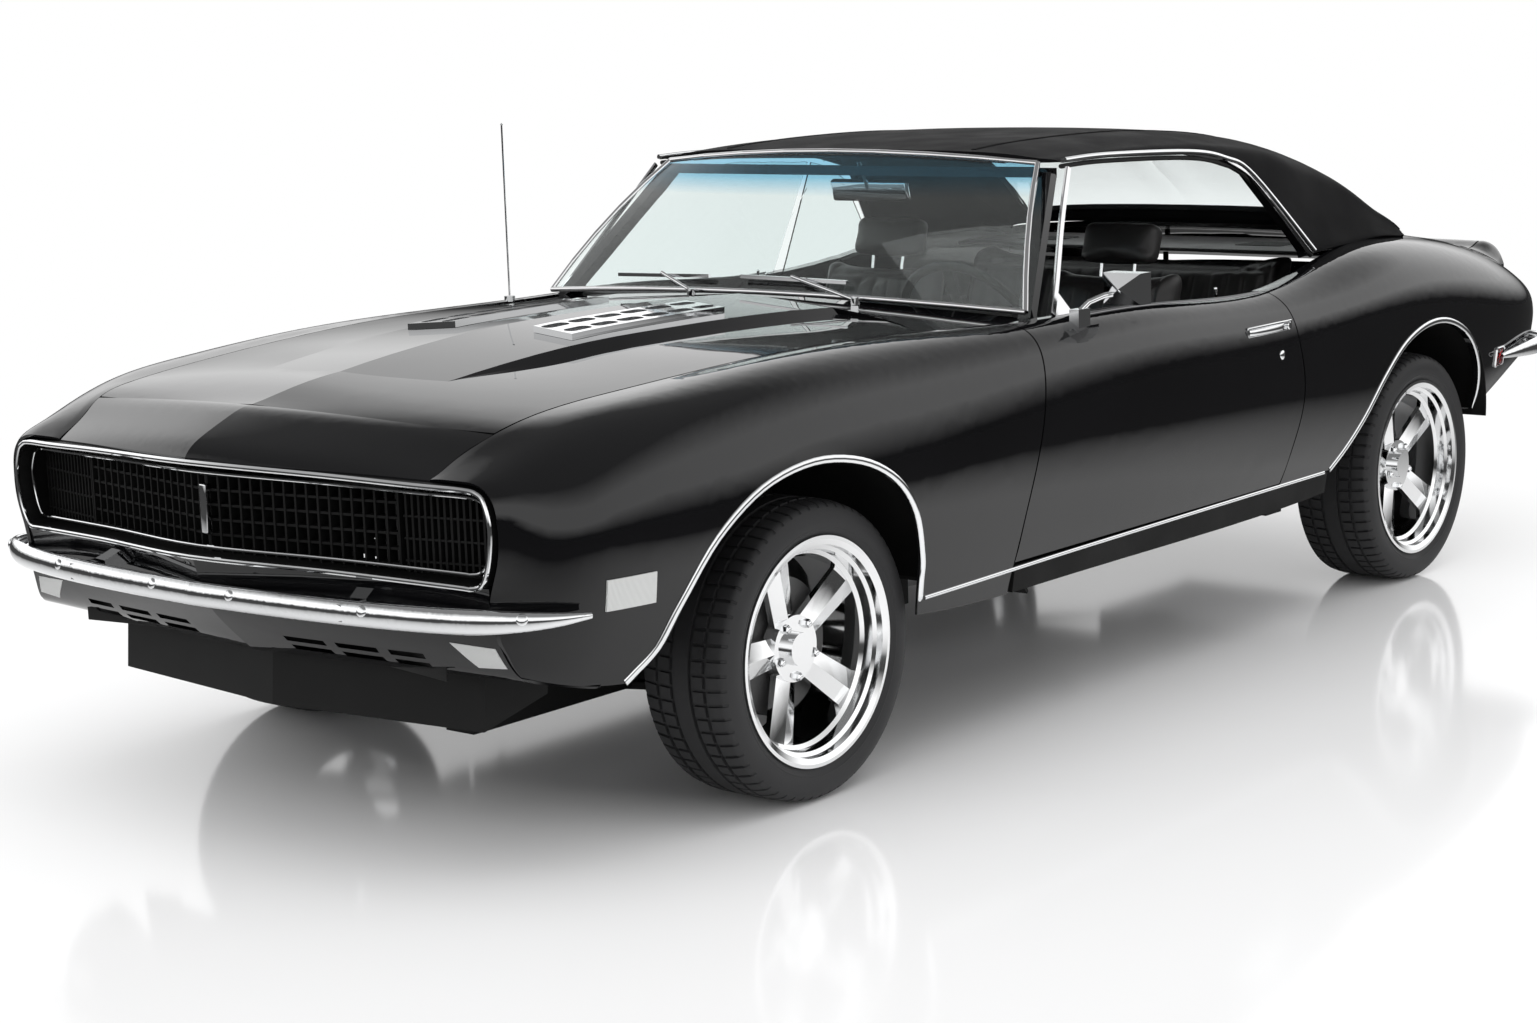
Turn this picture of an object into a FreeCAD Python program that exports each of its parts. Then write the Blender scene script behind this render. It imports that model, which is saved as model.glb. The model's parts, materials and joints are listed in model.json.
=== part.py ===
import FreeCAD, Part
import math
import os
import Sketcher

# Two-door hardtop with a hidden-headlamp grille, a vinyl roof and five-spoke wheels.
# Frame: +X forward, +Y to the car's left, +Z up, origin under the middle of the car on the ground.
# Points of the body are written as (ahead, left, height): millimetres ahead of the front axle,
# left of the centre line and above the ground, and are carried to the frame by at().

doc = FreeCAD.newDocument("muscle_car")
sheet = doc.addObject("Spreadsheet::Sheet", "Sizes")

DRIVING_SIZES = [
    ("wheel_base", 2746, "front axle to rear axle"),
    ("front_overhang", 970, "front axle to the tip of the front bumper"),
    ("rear_overhang", 974, "rear axle to the tip of the rear bumper"),
    ("half_width", 921, "centre line to the widest point of the doors"),
    ("sill_height", 330, "ground to the bottom edge of the sills"),
    ("belt_height", 935, "ground to the top edge of the doors"),
    ("roof_height", 1321, "ground to the crown of the roof"),
    ("front_track", 1480, "between the middles of the front tyres"),
    ("rear_track", 1511, "between the middles of the rear tyres"),
    ("tyre_radius", 322, "outer radius of a tyre"),
    ("tyre_width", 236, "widest section of a tyre"),
    ("tread_width", 216, "tread between its shoulders"),
    ("tread_flat", 140, "level middle of the tread"),
    ("bead_radius", 229, "seat of the tyre on the rim"),
    ("rim_width", 222, "rim over its flanges"),
    ("rim_lip_radius", 247, "outer radius of the rim's flange"),
    ("rim_lip_width", 9, "thickness of each flange"),
    ("barrel_radius", 212, "inner radius of the rim's barrel"),
    ("hub_bore_radius", 30.05, "centre bore of the rim"),
    ("hub_face", 12, "mounting face of the rim outboard of its middle"),
    ("hub_radius", 72, "centre boss of the rim"),
    ("hub_length", 34, "depth of the centre boss"),
    ("cap_radius", 36, "round centre cap"),
    ("cap_length", 18, "centre cap in front of the boss"),
    ("spoke_count", 5, "spokes of a rim"),
    ("spoke_root_radius", 45, "start of a spoke inside the boss"),
    ("spoke_root_width", 62, "width of a spoke at the boss"),
    ("spoke_root_back", 14, "back of a spoke at the boss"),
    ("spoke_root_edge", 30, "long edges of a spoke at the boss"),
    ("spoke_root_ridge", 44, "ridge of a spoke at the boss"),
    ("spoke_tip_width", 84, "width of a spoke at the barrel"),
    ("spoke_tip_back", 38, "back of a spoke at the barrel"),
    ("spoke_tip_edge", 50, "long edges of a spoke at the barrel"),
    ("spoke_tip_ridge", 58, "ridge of a spoke at the barrel"),
    ("spindle_radius", 30, "wheel spindle, a running fit in the bore"),
    ("steer_inset", 50, "steering axis inboard of the tyre's middle"),
    ("knuckle_height", 180, "between the two ball joints"),
    ("knuckle_radius", 20, "upright of the knuckle"),
    ("neck_radius", 45, "root of the spindle"),
    ("neck_length", 40, "root of the spindle"),
    ("brake_radius", 150, "brake"),
    ("brake_width", 30, "brake"),
    ("brake_offset", 22, "brake outboard of the steering axis"),
    ("spindle_reach", 40, "spindle inside the rim"),
    ("skin_thickness", 6, "sheet panels with their flanges"),
    ("door_thickness", 70, "whole door"),
    ("door_gap", 5, "seam round a door"),
    ("lid_gap", 5, "seam round the hood and the decklid"),
    ("hood_thickness", 18, "hood with its frame"),
    ("deck_thickness", 18, "decklid with its frame"),
    ("roof_thickness", 26, "roof skin, bows and lining"),
    ("glass_thickness", 5, "window glass"),
    ("floor_thickness", 8, "floor pan with its stiffening"),
    ("seat_width", 520, "front bucket seat"),
    ("seat_gap", 0.4, "clearance between loose neighbours"),
    ("steering_wheel_radius", 190, "middle of the rim to the centre"),
    ("steering_wheel_grip", 12, "rim of the steering wheel"),
    ("wheel_hub_radius", 40, "hub of the steering wheel"),
    ("wheel_spoke_width", 30, "spoke of the steering wheel"),
    ("wheel_spoke_thickness", 8, "spoke of the steering wheel"),
    ("engine_length", 600, "engine block"),
    ("engine_width", 480, "engine block"),
    ("engine_height", 430, "engine block"),
    ("tank_length", 560, "fuel tank"),
    ("tank_width", 760, "fuel tank"),
    ("tank_height", 150, "fuel tank"),
    ("axle_tube_radius", 40, "rear axle tube"),
    ("differential_radius", 130, "differential housing"),
    ("exhaust_radius", 28, "exhaust pipe"),
    ("silencer_radius", 70, "silencer"),
    ("silencer_length", 450, "silencer"),
    ("grille_pitch", 27, "between the bars of the grille"),
    ("grille_bar", 5, "face of a grille bar"),
    ("antenna_height", 460, "whip antenna above the wing"),
    ("antenna_radius", 2.2, "whip antenna"),
    ("antenna_base_radius", 14, "foot of the antenna"),
    ("trim_width", 18, "bright moulding round a wheel opening"),
    ("plate_hole_spacing", 178, "licence plate screws, side to side"),
    ("plate_hole_radius", 3.5, "licence plate screw holes"),
]
for row, (alias, value, note) in enumerate(DRIVING_SIZES, start=1):
    sheet.set("A%d" % row, str(value))
    sheet.setAlias("A%d" % row, alias)
    sheet.set("B%d" % row, note)
doc.recompute()


def size(alias):
    return float(sheet.get(alias))


WHEEL_BASE = size("wheel_base")
HALF_WIDTH = size("half_width")
SKIN = size("skin_thickness")
GAP = size("seat_gap")
AXLE_Z = size("tyre_radius")
FRONT_AXLE_X = (WHEEL_BASE + size("rear_overhang") - size("front_overhang")) / 2
REAR_AXLE_X = FRONT_AXLE_X - WHEEL_BASE
FRONT_WHEEL_Y = size("front_track") / 2
REAR_WHEEL_Y = size("rear_track") / 2
STEER_Y = FRONT_WHEEL_Y - size("steer_inset")

# The body's lines are drawn at these sizes and stretched from them by the sheet.
DRAWN_AHEAD = [-3720, -3166, -2326, -420, 420, 970]
REAL_AHEAD = [-WHEEL_BASE - size("rear_overhang"), -WHEEL_BASE - 420, -WHEEL_BASE + 420, -420, 420,
              size("front_overhang")]
DRAWN_HEIGHT = [0, 330, 935, 1321]
REAL_HEIGHT = [0, size("sill_height"), size("belt_height"), size("roof_height")]
DRAWN_HALF_WIDTH = 921


def V(x, y, z):
    return FreeCAD.Vector(x, y, z)


def stretch(value, drawn, real):
    """Carry a drawn coordinate to the real one, in straight stretches between fixed marks."""
    last = len(drawn) - 2
    part = 0
    while part < last and value > drawn[part + 1]:
        part += 1
    share = (value - drawn[part]) / (drawn[part + 1] - drawn[part])
    return real[part] + share * (real[part + 1] - real[part])


def at(ahead, left, height):
    """A point of the body in the car's frame."""
    return V(FRONT_AXLE_X + stretch(ahead, DRAWN_AHEAD, REAL_AHEAD),
             left * HALF_WIDTH / DRAWN_HALF_WIDTH,
             stretch(height, DRAWN_HEIGHT, REAL_HEIGHT))


class Curve:
    """Natural cubic spline through (parameter, value) points, or a single value."""

    def __init__(self, points):
        points = sorted(points)
        self.t = [float(p[0]) for p in points]
        self.v = [float(p[1]) for p in points]
        count = len(points)
        self.bend = [0.0] * count
        if count < 3:
            return
        step = [self.t[i + 1] - self.t[i] for i in range(count - 1)]
        diagonal = [1.0] * count
        right = [0.0] * count
        upper = [0.0] * count
        for i in range(1, count - 1):
            slope_change = (self.v[i + 1] - self.v[i]) / step[i] - (self.v[i] - self.v[i - 1]) / step[i - 1]
            weight = 2 * (step[i - 1] + step[i]) - step[i - 1] * upper[i - 1]
            upper[i] = step[i] / weight
            right[i] = (6 * slope_change - step[i - 1] * right[i - 1]) / weight
            diagonal[i] = weight
        for i in range(count - 2, 0, -1):
            self.bend[i] = right[i] - upper[i] * self.bend[i + 1]

    def __call__(self, t):
        count = len(self.t)
        if count == 1:
            return self.v[0]
        i = 0
        while i < count - 2 and t > self.t[i + 1]:
            i += 1
        width = self.t[i + 1] - self.t[i]
        a = (self.t[i + 1] - t) / width
        b = (t - self.t[i]) / width
        bent = (a ** 3 - a) * self.bend[i] + (b ** 3 - b) * self.bend[i + 1]
        return a * self.v[i] + b * self.v[i + 1] + bent * width * width / 6


# Lines of the body side: at each station the section from the inner top edge (hood seam, belt,
# deck seam) over the crest and the waist down to the bottom edge.
SIDE_SECTIONS = [
    (829, [(572, 790), (655, 793), (705, 785), (736, 755), (745, 706),
          (741, 645), (722, 590), (706, 520), (694, 452)]),
    (805, [(577, 802), (660, 804), (718, 794), (752, 760), (764, 704),
          (763, 645), (751, 580), (737, 505), (724, 428)]),
    (760, [(583, 825), (660, 823), (726, 808), (772, 764), (793, 700),
          (797, 645), (791, 572), (777, 490), (760, 405)]),
    (690, [(609, 860), (682, 848), (752, 824), (806, 772), (833, 703),
          (838, 642), (832, 565), (818, 475), (799, 385)]),
    (577, [(618, 886), (702, 880), (770, 856), (830, 800), (861, 718),
          (868, 642), (863, 565), (851, 470), (833, 372)]),
    (342, [(637, 908), (715, 909), (785, 892), (845, 838), (882, 742),
          (893, 650), (890, 568), (880, 475), (865, 372)]),
    (0, [(665, 929), (738, 930), (800, 913), (858, 862), (893, 762),
          (906, 660), (903, 565), (895, 470), (885, 375)]),
    (-360, [(695, 936), (757, 934), (815, 915), (870, 862), (902, 766),
          (914, 665), (911, 565), (902, 462), (889, 345)]),
    (-820, [(757, 926), (800, 925), (846, 908), (887, 860), (910, 770),
          (918, 665), (914, 560), (903, 458), (882, 332)]),
    (-1315, [(790, 921), (825, 919), (861, 902), (896, 855), (914, 768),
          (921, 660), (917, 560), (906, 458), (884, 330)]),
    (-1940, [(788, 897), (824, 897), (861, 882), (898, 840), (915, 762),
          (921, 658), (917, 560), (906, 460), (885, 332)]),
    (-2240, [(758, 926), (808, 923), (858, 899), (901, 848), (917, 762),
          (921, 656), (917, 560), (906, 465), (886, 345)]),
    (-2560, [(716, 962), (790, 956), (856, 924), (902, 860), (918, 764),
          (921, 656), (916, 560), (905, 470), (886, 372)]),
    (-2840, [(697, 964), (778, 950), (846, 914), (893, 850), (910, 756),
          (915, 655), (911, 566), (901, 480), (884, 398)]),
    (-3130, [(682, 938), (760, 918), (828, 880), (876, 820), (895, 742),
          (900, 660), (896, 585), (886, 520), (870, 460)]),
    (-3400, [(660, 895), (736, 872), (800, 834), (848, 784), (870, 725),
          (875, 668), (872, 620), (865, 580), (854, 545)]),
    (-3560, [(643, 858), (714, 834), (774, 797), (816, 755), (836, 711),
          (840, 668), (838, 636), (833, 608), (826, 584)]),
    (-3645, [(632, 828), (698, 806), (752, 776), (786, 742), (802, 707),
          (806, 668), (804, 644), (800, 620), (793, 600)]),
]
WAIST_ROW = 5
ROWS = 9


def chord_marks(points):
    marks = [0.0]
    for a, b in zip(points, points[1:]):
        marks.append(marks[-1] + math.dist(a, b))
    return marks


SIDE_MARKS = chord_marks([(ahead, rows[WAIST_ROW][0]) for ahead, rows in SIDE_SECTIONS])
SIDE_AHEAD = Curve([(mark, section[0]) for mark, section in zip(SIDE_MARKS, SIDE_SECTIONS)])
SIDE_LEFT = [Curve([(mark, section[1][row][0]) for mark, section in zip(SIDE_MARKS, SIDE_SECTIONS)])
             for row in range(ROWS)]
SIDE_HEIGHT = [Curve([(mark, section[1][row][1]) for mark, section in zip(SIDE_MARKS, SIDE_SECTIONS)])
               for row in range(ROWS)]


def side_mark(ahead):
    """The station parameter of the body side at a distance ahead of the front axle."""
    low, high = SIDE_MARKS[0], SIDE_MARKS[-1]
    for _ in range(40):
        middle = (low + high) / 2
        if SIDE_AHEAD(middle) > ahead:
            low = middle
        else:
            high = middle
    return (low + high) / 2


def side_point(ahead, row):
    """Point (ahead, left, height) of the left body side; row runs from 0, top, to 8, bottom."""
    mark = side_mark(ahead)
    left = Curve([(r, SIDE_LEFT[r](mark)) for r in range(ROWS)])(row)
    height = Curve([(r, SIDE_HEIGHT[r](mark)) for r in range(ROWS)])(row)
    return (ahead, left, height)


def row_at_height(ahead, height):
    """The row of the body side that lies at a height, below the crest."""
    low, high = 1.5, 8.0
    for _ in range(25):
        middle = (low + high) / 2
        if side_point(ahead, middle)[2] > height:
            low = middle
        else:
            high = middle
    return (low + high) / 2


def surface(grid):
    """Smooth face through a grid of points."""
    patch = Part.BSplineSurface()
    patch.interpolate(grid)
    return patch.toShape()


def border(grid):
    """The four edges of a grid as lists of points."""
    return [grid[0], [line[-1] for line in grid], grid[-1], [line[0] for line in grid]]


def edge_of(points):
    curve = Part.BSplineCurve()
    curve.interpolate(points)
    return curve.toShape()


def slab(outer, inner):
    """Solid between two grids of points of the same shape."""
    faces = [surface(outer), surface(inner)]
    outer_edges = [face_edge(faces[0], line) for line in border(outer)]
    inner_edges = [face_edge(faces[1], line) for line in border(inner)]
    for a, b in zip(outer_edges, inner_edges):
        faces.append(Part.makeRuledSurface(a, b))
    shell = Part.makeShell(faces)
    shell.sewShape()
    solid = Part.makeSolid(shell)
    if solid.Volume < 0:
        solid.reverse()
    return solid


def face_edge(face, line):
    """The edge of a face that runs between the two ends of a line of points."""
    best = None
    for edge in face.Edges:
        ends = [vertex.Point for vertex in edge.Vertexes]
        if len(ends) < 2:
            continue
        straight = ends[0].distanceToPoint(line[0]) + ends[1].distanceToPoint(line[-1])
        turned = ends[1].distanceToPoint(line[0]) + ends[0].distanceToPoint(line[-1])
        middle = edge.valueAt((edge.FirstParameter + edge.LastParameter) / 2)
        aside = min(middle.distanceToPoint(point) for point in line)
        score = min(straight, turned) + 0.01 * aside
        if best is None or score < best[0]:
            best = (score, edge)
    return best[1]


def thicken(grid, thickness, inward):
    """Slab from a grid of points and a thickness towards the side that inward points to.

    Points on the centre plane keep their partners on it, so that mirrored halves meet.
    """
    inner = []
    for i, line in enumerate(grid):
        inner_line = []
        for j, point in enumerate(line):
            along_i = grid[min(i + 1, len(grid) - 1)][j] - grid[max(i - 1, 0)][j]
            along_j = line[min(j + 1, len(line) - 1)] - line[max(j - 1, 0)]
            normal = along_i.cross(along_j)
            normal.normalize()
            if normal.dot(inward) < 0:
                normal = normal * -1
            if abs(point.y) < 0.001:
                normal.y = 0
            inner_line.append(point + normal * thickness)
        inner.append(inner_line)
    return slab(grid, inner)


def mirrored(shape):
    return shape.mirror(V(0, 0, 0), V(0, 1, 0))


def block(low, high):
    """Box between two corners of the car's frame."""
    return Part.makeBox(high.x - low.x, high.y - low.y, high.z - low.z, low)


def plate(points, direction):
    """Flat outline of corner points drawn out along a vector."""
    wire = Part.makePolygon(points + [points[0]])
    return Part.Face(wire).extrude(direction)


def rod(start, end, radius):
    """Round bar between two points."""
    return Part.makeCylinder(radius, (end - start).Length, start, end - start)


def bar(start, end, width, depth, wide_axis):
    """Rectangular bar between two points; its width lies along wide_axis."""
    along = end - start
    along.normalize()
    wide = wide_axis - along * wide_axis.dot(along)
    wide.normalize()
    deep = along.cross(wide)
    corners = [start + wide * (sx * width / 2) + deep * (sy * depth / 2)
               for sx, sy in ((-1, -1), (1, -1), (1, 1), (-1, 1))]
    return plate(corners, end - start)


def fused(shapes):
    whole = shapes[0]
    if len(shapes) > 1:
        whole = shapes[0].multiFuse(shapes[1:])
    return whole.removeSplitter()


def side_prism(points, left_low, left_high, smooth=()):
    """Prism across the car whose outline is given as (ahead, height) corners.

    smooth names a run (first, last) of corners that a curve joins instead of straight lines.
    """
    low = [at(ahead, left_low, height) for ahead, height in points]
    edges = []
    if smooth:
        first, last = smooth
        edges.append(edge_of(low[first:last + 1]))
        rest = low[last:] + low[:first + 1]
    else:
        rest = low + [low[0]]
    for a, b in zip(rest, rest[1:]):
        if a.distanceToPoint(b) > 0.01:
            edges.append(Part.makeLine(a, b))
    wire = Part.Wire(Part.__sortEdges__(edges))
    width = at(0, left_high, 0) - at(0, left_low, 0)
    return Part.Face(wire).extrude(V(0, width.y, 0))


def add_shape(label, shape):
    """A sub-part whose shape is worked out from the sheet."""
    feature = doc.addObject("Part::Feature", label)
    feature.Label = label
    feature.Shape = shape
    feature.Placement = FreeCAD.Placement()
    return feature


# Seams of the doors as (height, ahead): they lean, wide at the sill and narrow at the belt.
DOOR_FRONT_SEAM = Curve([(330, -650), (398, -664), (543, -704), (640, -738), (760, -778), (960, -822)])
DOOR_REAR_SEAM = Curve([(330, -1880), (408, -1892), (480, -1925), (560, -1962), (640, -1980),
                        (760, -1964), (905, -1932)])
DOOR_BOTTOM = 404
SILL_TOP = 396
DOOR_HINGE_AHEAD = -790
DOOR_HINGE_LEFT = 910

# Wheel openings on the body side as (ahead, height), front end first.
FRONT_ARCH = [(585, 365), (560, 384), (509, 427), (455, 509), (359, 622), (222, 700), (59, 730), (-91, 711),
              (-201, 657), (-265, 579), (-294, 476), (-294, 430), (-296, 380)]
REAR_ARCH = [(-2165, 392), (-2245, 444), (-2335, 515), (-2440, 612), (-2560, 690), (-2700, 727), (-2840, 722),
             (-2970, 672), (-3046, 590), (-3074, 505), (-3072, 425)]
# Liners behind the openings, a little larger so that the edge of the skin stands in front of them.
FRONT_LINER = [(640, 395), (560, 440), (490, 528), (385, 642), (235, 716), (60, 745), (-100, 735), (-235, 682),
               (-325, 590), (-378, 500), (-395, 410)]
REAR_LINER = [(-2150, 402), (-2262, 462), (-2350, 534), (-2452, 632), (-2566, 708), (-2700, 742), (-2845, 737),
              (-2985, 688), (-3068, 600), (-3098, 505), (-3100, 425)]
FRONT_ARCH_MIDDLE = (-20, 330)
REAR_ARCH_MIDDLE = (-2640, 330)
LINER_THICKNESS = 4
# Seam between the fender's lower front corner and the valance, in side view.
NOSE_SEAM = [(644, 380), (693, 383), (733, 387), (753, 393), (770, 401), (786, 415), (798, 436), (807, 461),
             (814, 479), (818, 508)]


def band(outline, middle, width, left_low, left_high):
    """Band of even width outside an outline round a wheel, drawn across the car."""
    grown = []
    for ahead, height in outline:
        reach = math.hypot(ahead - middle[0], height - middle[1])
        scale = (reach + width) / reach
        grown.append((middle[0] + (ahead - middle[0]) * scale, middle[1] + (height - middle[1]) * scale))
    count = len(outline)
    low = [at(ahead, left_low, height) for ahead, height in grown + outline[::-1]]
    edges = [edge_of(low[:count]), edge_of(low[count:]), Part.makeLine(low[count - 1], low[count]),
             Part.makeLine(low[-1], low[0])]
    wire = Part.Wire(Part.__sortEdges__(edges))
    return Part.Face(wire).extrude(at(0, left_high, 0) - at(0, left_low, 0))


def inside_of(shape, skin):
    """What is left of a shape on the inner side of a body panel."""
    return largest(shape.cut(skin))


def largest(shape):
    return max(shape.Solids, key=lambda solid: solid.Volume)


def arch_cut(arch):
    ground = 150
    points = arch + [(arch[-1][0], ground), (arch[0][0], ground)]
    return side_prism(points, 520, 960, smooth=(0, len(arch) - 1))


def side_panel(front_seam, rear_seam, row_low, row_high, thickness, columns, rows):
    """Panel of the left body side between two seams, which give ahead from height."""
    grid = []
    for j in range(rows + 1):
        row = row_low + (row_high - row_low) * j / rows
        height = side_point((front_seam(900) + rear_seam(900)) / 2, row)[2]
        line = []
        for i in range(columns + 1):
            share = i / columns
            ahead = front_seam(height) * (1 - share) + rear_seam(height) * share
            for _ in range(3):
                height_here = side_point(ahead, row)[2]
                ahead = front_seam(height_here) * (1 - share) + rear_seam(height_here) * share
            line.append(at(*side_point(ahead, row)))
        grid.append(line)
    return thicken(grid, thickness, V(0, -1, -0.25))


def straight_seam(ahead):
    return Curve([(300, ahead), (1000, ahead)])


def shifted(seam, offset):
    return Curve([(t, v + offset) for t, v in zip(seam.t, seam.v)])


def make_fender():
    half = size("door_gap") / 2
    panel = side_panel(straight_seam(829), shifted(DOOR_FRONT_SEAM, half), 0, 8, SKIN, 26, 12)
    seam = [(ahead - size("door_gap") / 2, height) for ahead, height in NOSE_SEAM]
    corner = side_prism(seam + [(900, 508), (900, 300), (seam[0][0], 300)], 600, 960, smooth=(0, len(seam) - 1))
    return panel.cut(arch_cut(FRONT_ARCH)).cut(corner)


def make_quarter():
    half = size("door_gap") / 2
    panel = side_panel(shifted(DOOR_REAR_SEAM, -half), straight_seam(-3645), 0, 8, 3 * SKIN, 26, 12)
    below_sill = side_prism([(-1800, SILL_TOP + 4), (-2240, SILL_TOP + 4), (-2240, 300), (-1800, 300)], 700, 960)
    return panel.cut(arch_cut(REAR_ARCH)).cut(below_sill)


def make_door():
    half = size("door_gap") / 2
    panel = side_panel(shifted(DOOR_FRONT_SEAM, -half), shifted(DOOR_REAR_SEAM, half), 0, 8,
                       size("door_thickness"), 14, 12)
    below = side_prism([(-500, DOOR_BOTTOM), (-2100, DOOR_BOTTOM), (-2100, 200), (-500, 200)], 600, 990)
    return panel.cut(below)


# Hood, header, cowl and decklid lie between the two body sides.
def hood_edge_left(ahead):
    return side_point(ahead, 0)[1]


HOOD_CENTRE = Curve([(-803, 970), (-600, 980), (-153, 983), (43, 979), (291, 962), (498, 940),
                     (640, 918), (777, 892)])
HOOD_FRONT_CENTRE = 777
HOOD_FRONT_CORNER = 690
HOOD_REAR_CENTRE = -803
HOOD_REAR_CORNER = -560
# The raised middle grows out of the hood between these two distances ahead of the axle.
BULGE_START = 640
BULGE_FULL = 140
BULGE_DROP = 19
BULGE_STEP = 14
BULGE_SLOPE = 26
BULGE_ROOT = 9
BULGE_SUNK = 5


def bulge_half_width(ahead):
    return 265 + (635 - ahead) * 0.05


def bulge_share(ahead):
    """0 where the raised middle has not begun, 1 where it has its full height."""
    share = min(max((BULGE_START - ahead) / (BULGE_START - BULGE_FULL), 0.0), 1.0)
    return share * share * (3 - 2 * share)


def hood_height(ahead, left):
    """Height of the hood beside its raised middle, with the ridge that runs out of its tip."""
    edge_left, edge_height = side_point(ahead, 0)[1:]
    share = abs(left) / edge_left
    grown = bulge_share(ahead)
    flat = HOOD_CENTRE(ahead) - BULGE_DROP - BULGE_STEP * grown
    ridge = (1 - grown) * BULGE_DROP * max(1 - share, 0) ** 2.5
    return flat + (edge_height - flat) * share ** 2.2 + ridge


def bulge_height(ahead, left):
    """Height of the raised middle, creased along the centre line."""
    slope = BULGE_DROP * abs(left) / bulge_half_width(ahead)
    return HOOD_CENTRE(ahead) - slope - BULGE_SUNK * (1 - bulge_share(ahead))


def hood_front(share):
    """Front edge of the hood, a shallow arrow; share runs from the centre to the side."""
    return HOOD_FRONT_CENTRE + (HOOD_FRONT_CORNER - HOOD_FRONT_CENTRE) * (0.75 * share + 0.25 * share * share)


def hood_rear(share):
    return HOOD_REAR_CENTRE + (HOOD_REAR_CORNER - HOOD_REAR_CENTRE) * share ** 2.2


def hood_grid(gap, columns=16, count=8):
    grid = []
    for i in range(columns + 1):
        line = []
        for j in range(count + 1):
            share = j / count
            front = hood_front(share) - gap
            rear = hood_rear(share) + gap
            ahead = front + (rear - front) * i / columns
            left = (side_point(ahead, 0)[1] - gap) * share
            line.append(at(ahead, left, hood_height(ahead, left)))
        grid.append(line)
    return grid


def bulge_grids(gap, columns=16, count=4):
    top = []
    foot = []
    for i in range(columns + 1):
        top_line = []
        foot_line = []
        for j in range(count + 1):
            share = j / count
            near = 0.52 * share
            front = hood_front(near) - gap
            rear = hood_rear(near) + gap
            ahead = front + (rear - front) * i / columns
            left = bulge_half_width(ahead) * share
            spread = left * (1 + BULGE_SLOPE / bulge_half_width(ahead))
            top_line.append(at(ahead, left, bulge_height(ahead, left)))
            foot_line.append(at(ahead, spread, hood_height(ahead, spread) - BULGE_ROOT))
        top.append(top_line)
        foot.append(foot_line)
    return top, foot


def drop(grid, depth):
    return [[point - V(0, 0, depth) for point in line] for line in grid]


def left_half(shape):
    return shape.common(block(V(-6000, 0, 0), V(6000, 2000, 3000)))


def both_halves(half):
    return fused([half, mirrored(half)])


def make_hood():
    grid = hood_grid(size("lid_gap"))
    panel = both_halves(slab(grid, drop(grid, size("hood_thickness"))))
    top, foot = bulge_grids(size("lid_gap"))
    return fused([panel, both_halves(slab(top, foot))])


HEADER_CENTRE = [(HOOD_FRONT_CENTRE, 892), (840, 874), (900, 848), (940, 824), (953, 808)]
HEADER_SIDE = [(HOOD_FRONT_CORNER, 860), (735, 839), (775, 817), (812, 797), (829, 788)]
MOUTH_TOP_CENTRE = 953
MOUTH_END = 829


def header_grid():
    grid = []
    count = 8
    for i in range(len(HEADER_CENTRE)):
        line = []
        for j in range(count + 1):
            share = j / count
            bow = 0.75 * share + 0.25 * share * share
            centre_ahead, centre_height = HEADER_CENTRE[i]
            side_ahead, side_height = HEADER_SIDE[i]
            ahead = centre_ahead + (side_ahead - centre_ahead) * bow
            left = (hood_edge_left(side_ahead) - 2.5) * share
            height = centre_height + (side_height - centre_height) * share ** 1.5
            line.append(at(ahead, left, height))
        grid.append(line)
    return grid


def make_header():
    grid = header_grid()
    return both_halves(slab(grid, drop(grid, SKIN)))


def cowl_height(ahead, left):
    """Top of the strip between the hood and the windshield."""
    reach, edge = side_point(ahead, 0)[1:]
    return 958 + (edge - 962) * (abs(left) / reach) ** 1.6


def make_cowl():
    """Strip between the hood and the windshield, with the wiper well's floor."""
    grid = []
    count = 10
    for i in range(4):
        line = []
        for j in range(count + 1):
            share = j / count
            front = HOOD_REAR_CENTRE + (HOOD_REAR_CORNER - HOOD_REAR_CENTRE) * share ** 2.2 - size("lid_gap")
            rear = WINDSHIELD_BASE_CENTRE + (WINDSHIELD_BASE_CORNER - WINDSHIELD_BASE_CENTRE) * share ** 2.0 - 25
            ahead = front + (rear - front) * i / 3
            reach = side_point(ahead, 0)[1] - (3 if ahead > -815 else 14)
            left = reach * share
            line.append(at(ahead, left, cowl_height(ahead, left)))
        grid.append(line)
    return both_halves(slab(grid, drop(grid, 20)))


WINDSHIELD_BASE_CENTRE = -872
WINDSHIELD_BASE_CORNER = -930
DECK_FRONT = -2985
DECK_REAR = -3646
DECK_CENTRE = Curve([(-2985, 985), (-3130, 968), (-3300, 938), (-3450, 904), (-3560, 872), (-3645, 840)])
TAIL_BOW = 29


def tail_back(left):
    """How far the tail bows out behind its corners."""
    return TAIL_BOW * (1 - (left / 790) ** 2)


def deck_height(ahead, left):
    edge_left, edge_height = side_point(ahead, 0)[1:]
    share = abs(left) / edge_left
    return DECK_CENTRE(ahead) + (edge_height - DECK_CENTRE(ahead)) * share ** 2.4


def deck_grid(front, rear, inset, columns=12, count=8):
    """Grid of the left half of the decklid; its rear edge bows out with the tail."""
    grid = []
    for i in range(columns + 1):
        line = []
        for j in range(count + 1):
            share = j / count
            ahead = front + (rear - tail_back(635 * share) - front) * i / columns
            left = (side_point(ahead, 0)[1] - inset) * share
            line.append(at(ahead, left, deck_height(ahead, left)))
        grid.append(line)
    return grid


def make_decklid():
    gap = size("lid_gap")
    grid = deck_grid(DECK_FRONT - gap, DECK_REAR, gap)
    lower = deck_grid(DECK_FRONT - gap, DECK_REAR, gap + 12)
    return both_halves(slab(grid, drop(lower, size("deck_thickness"))))


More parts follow.
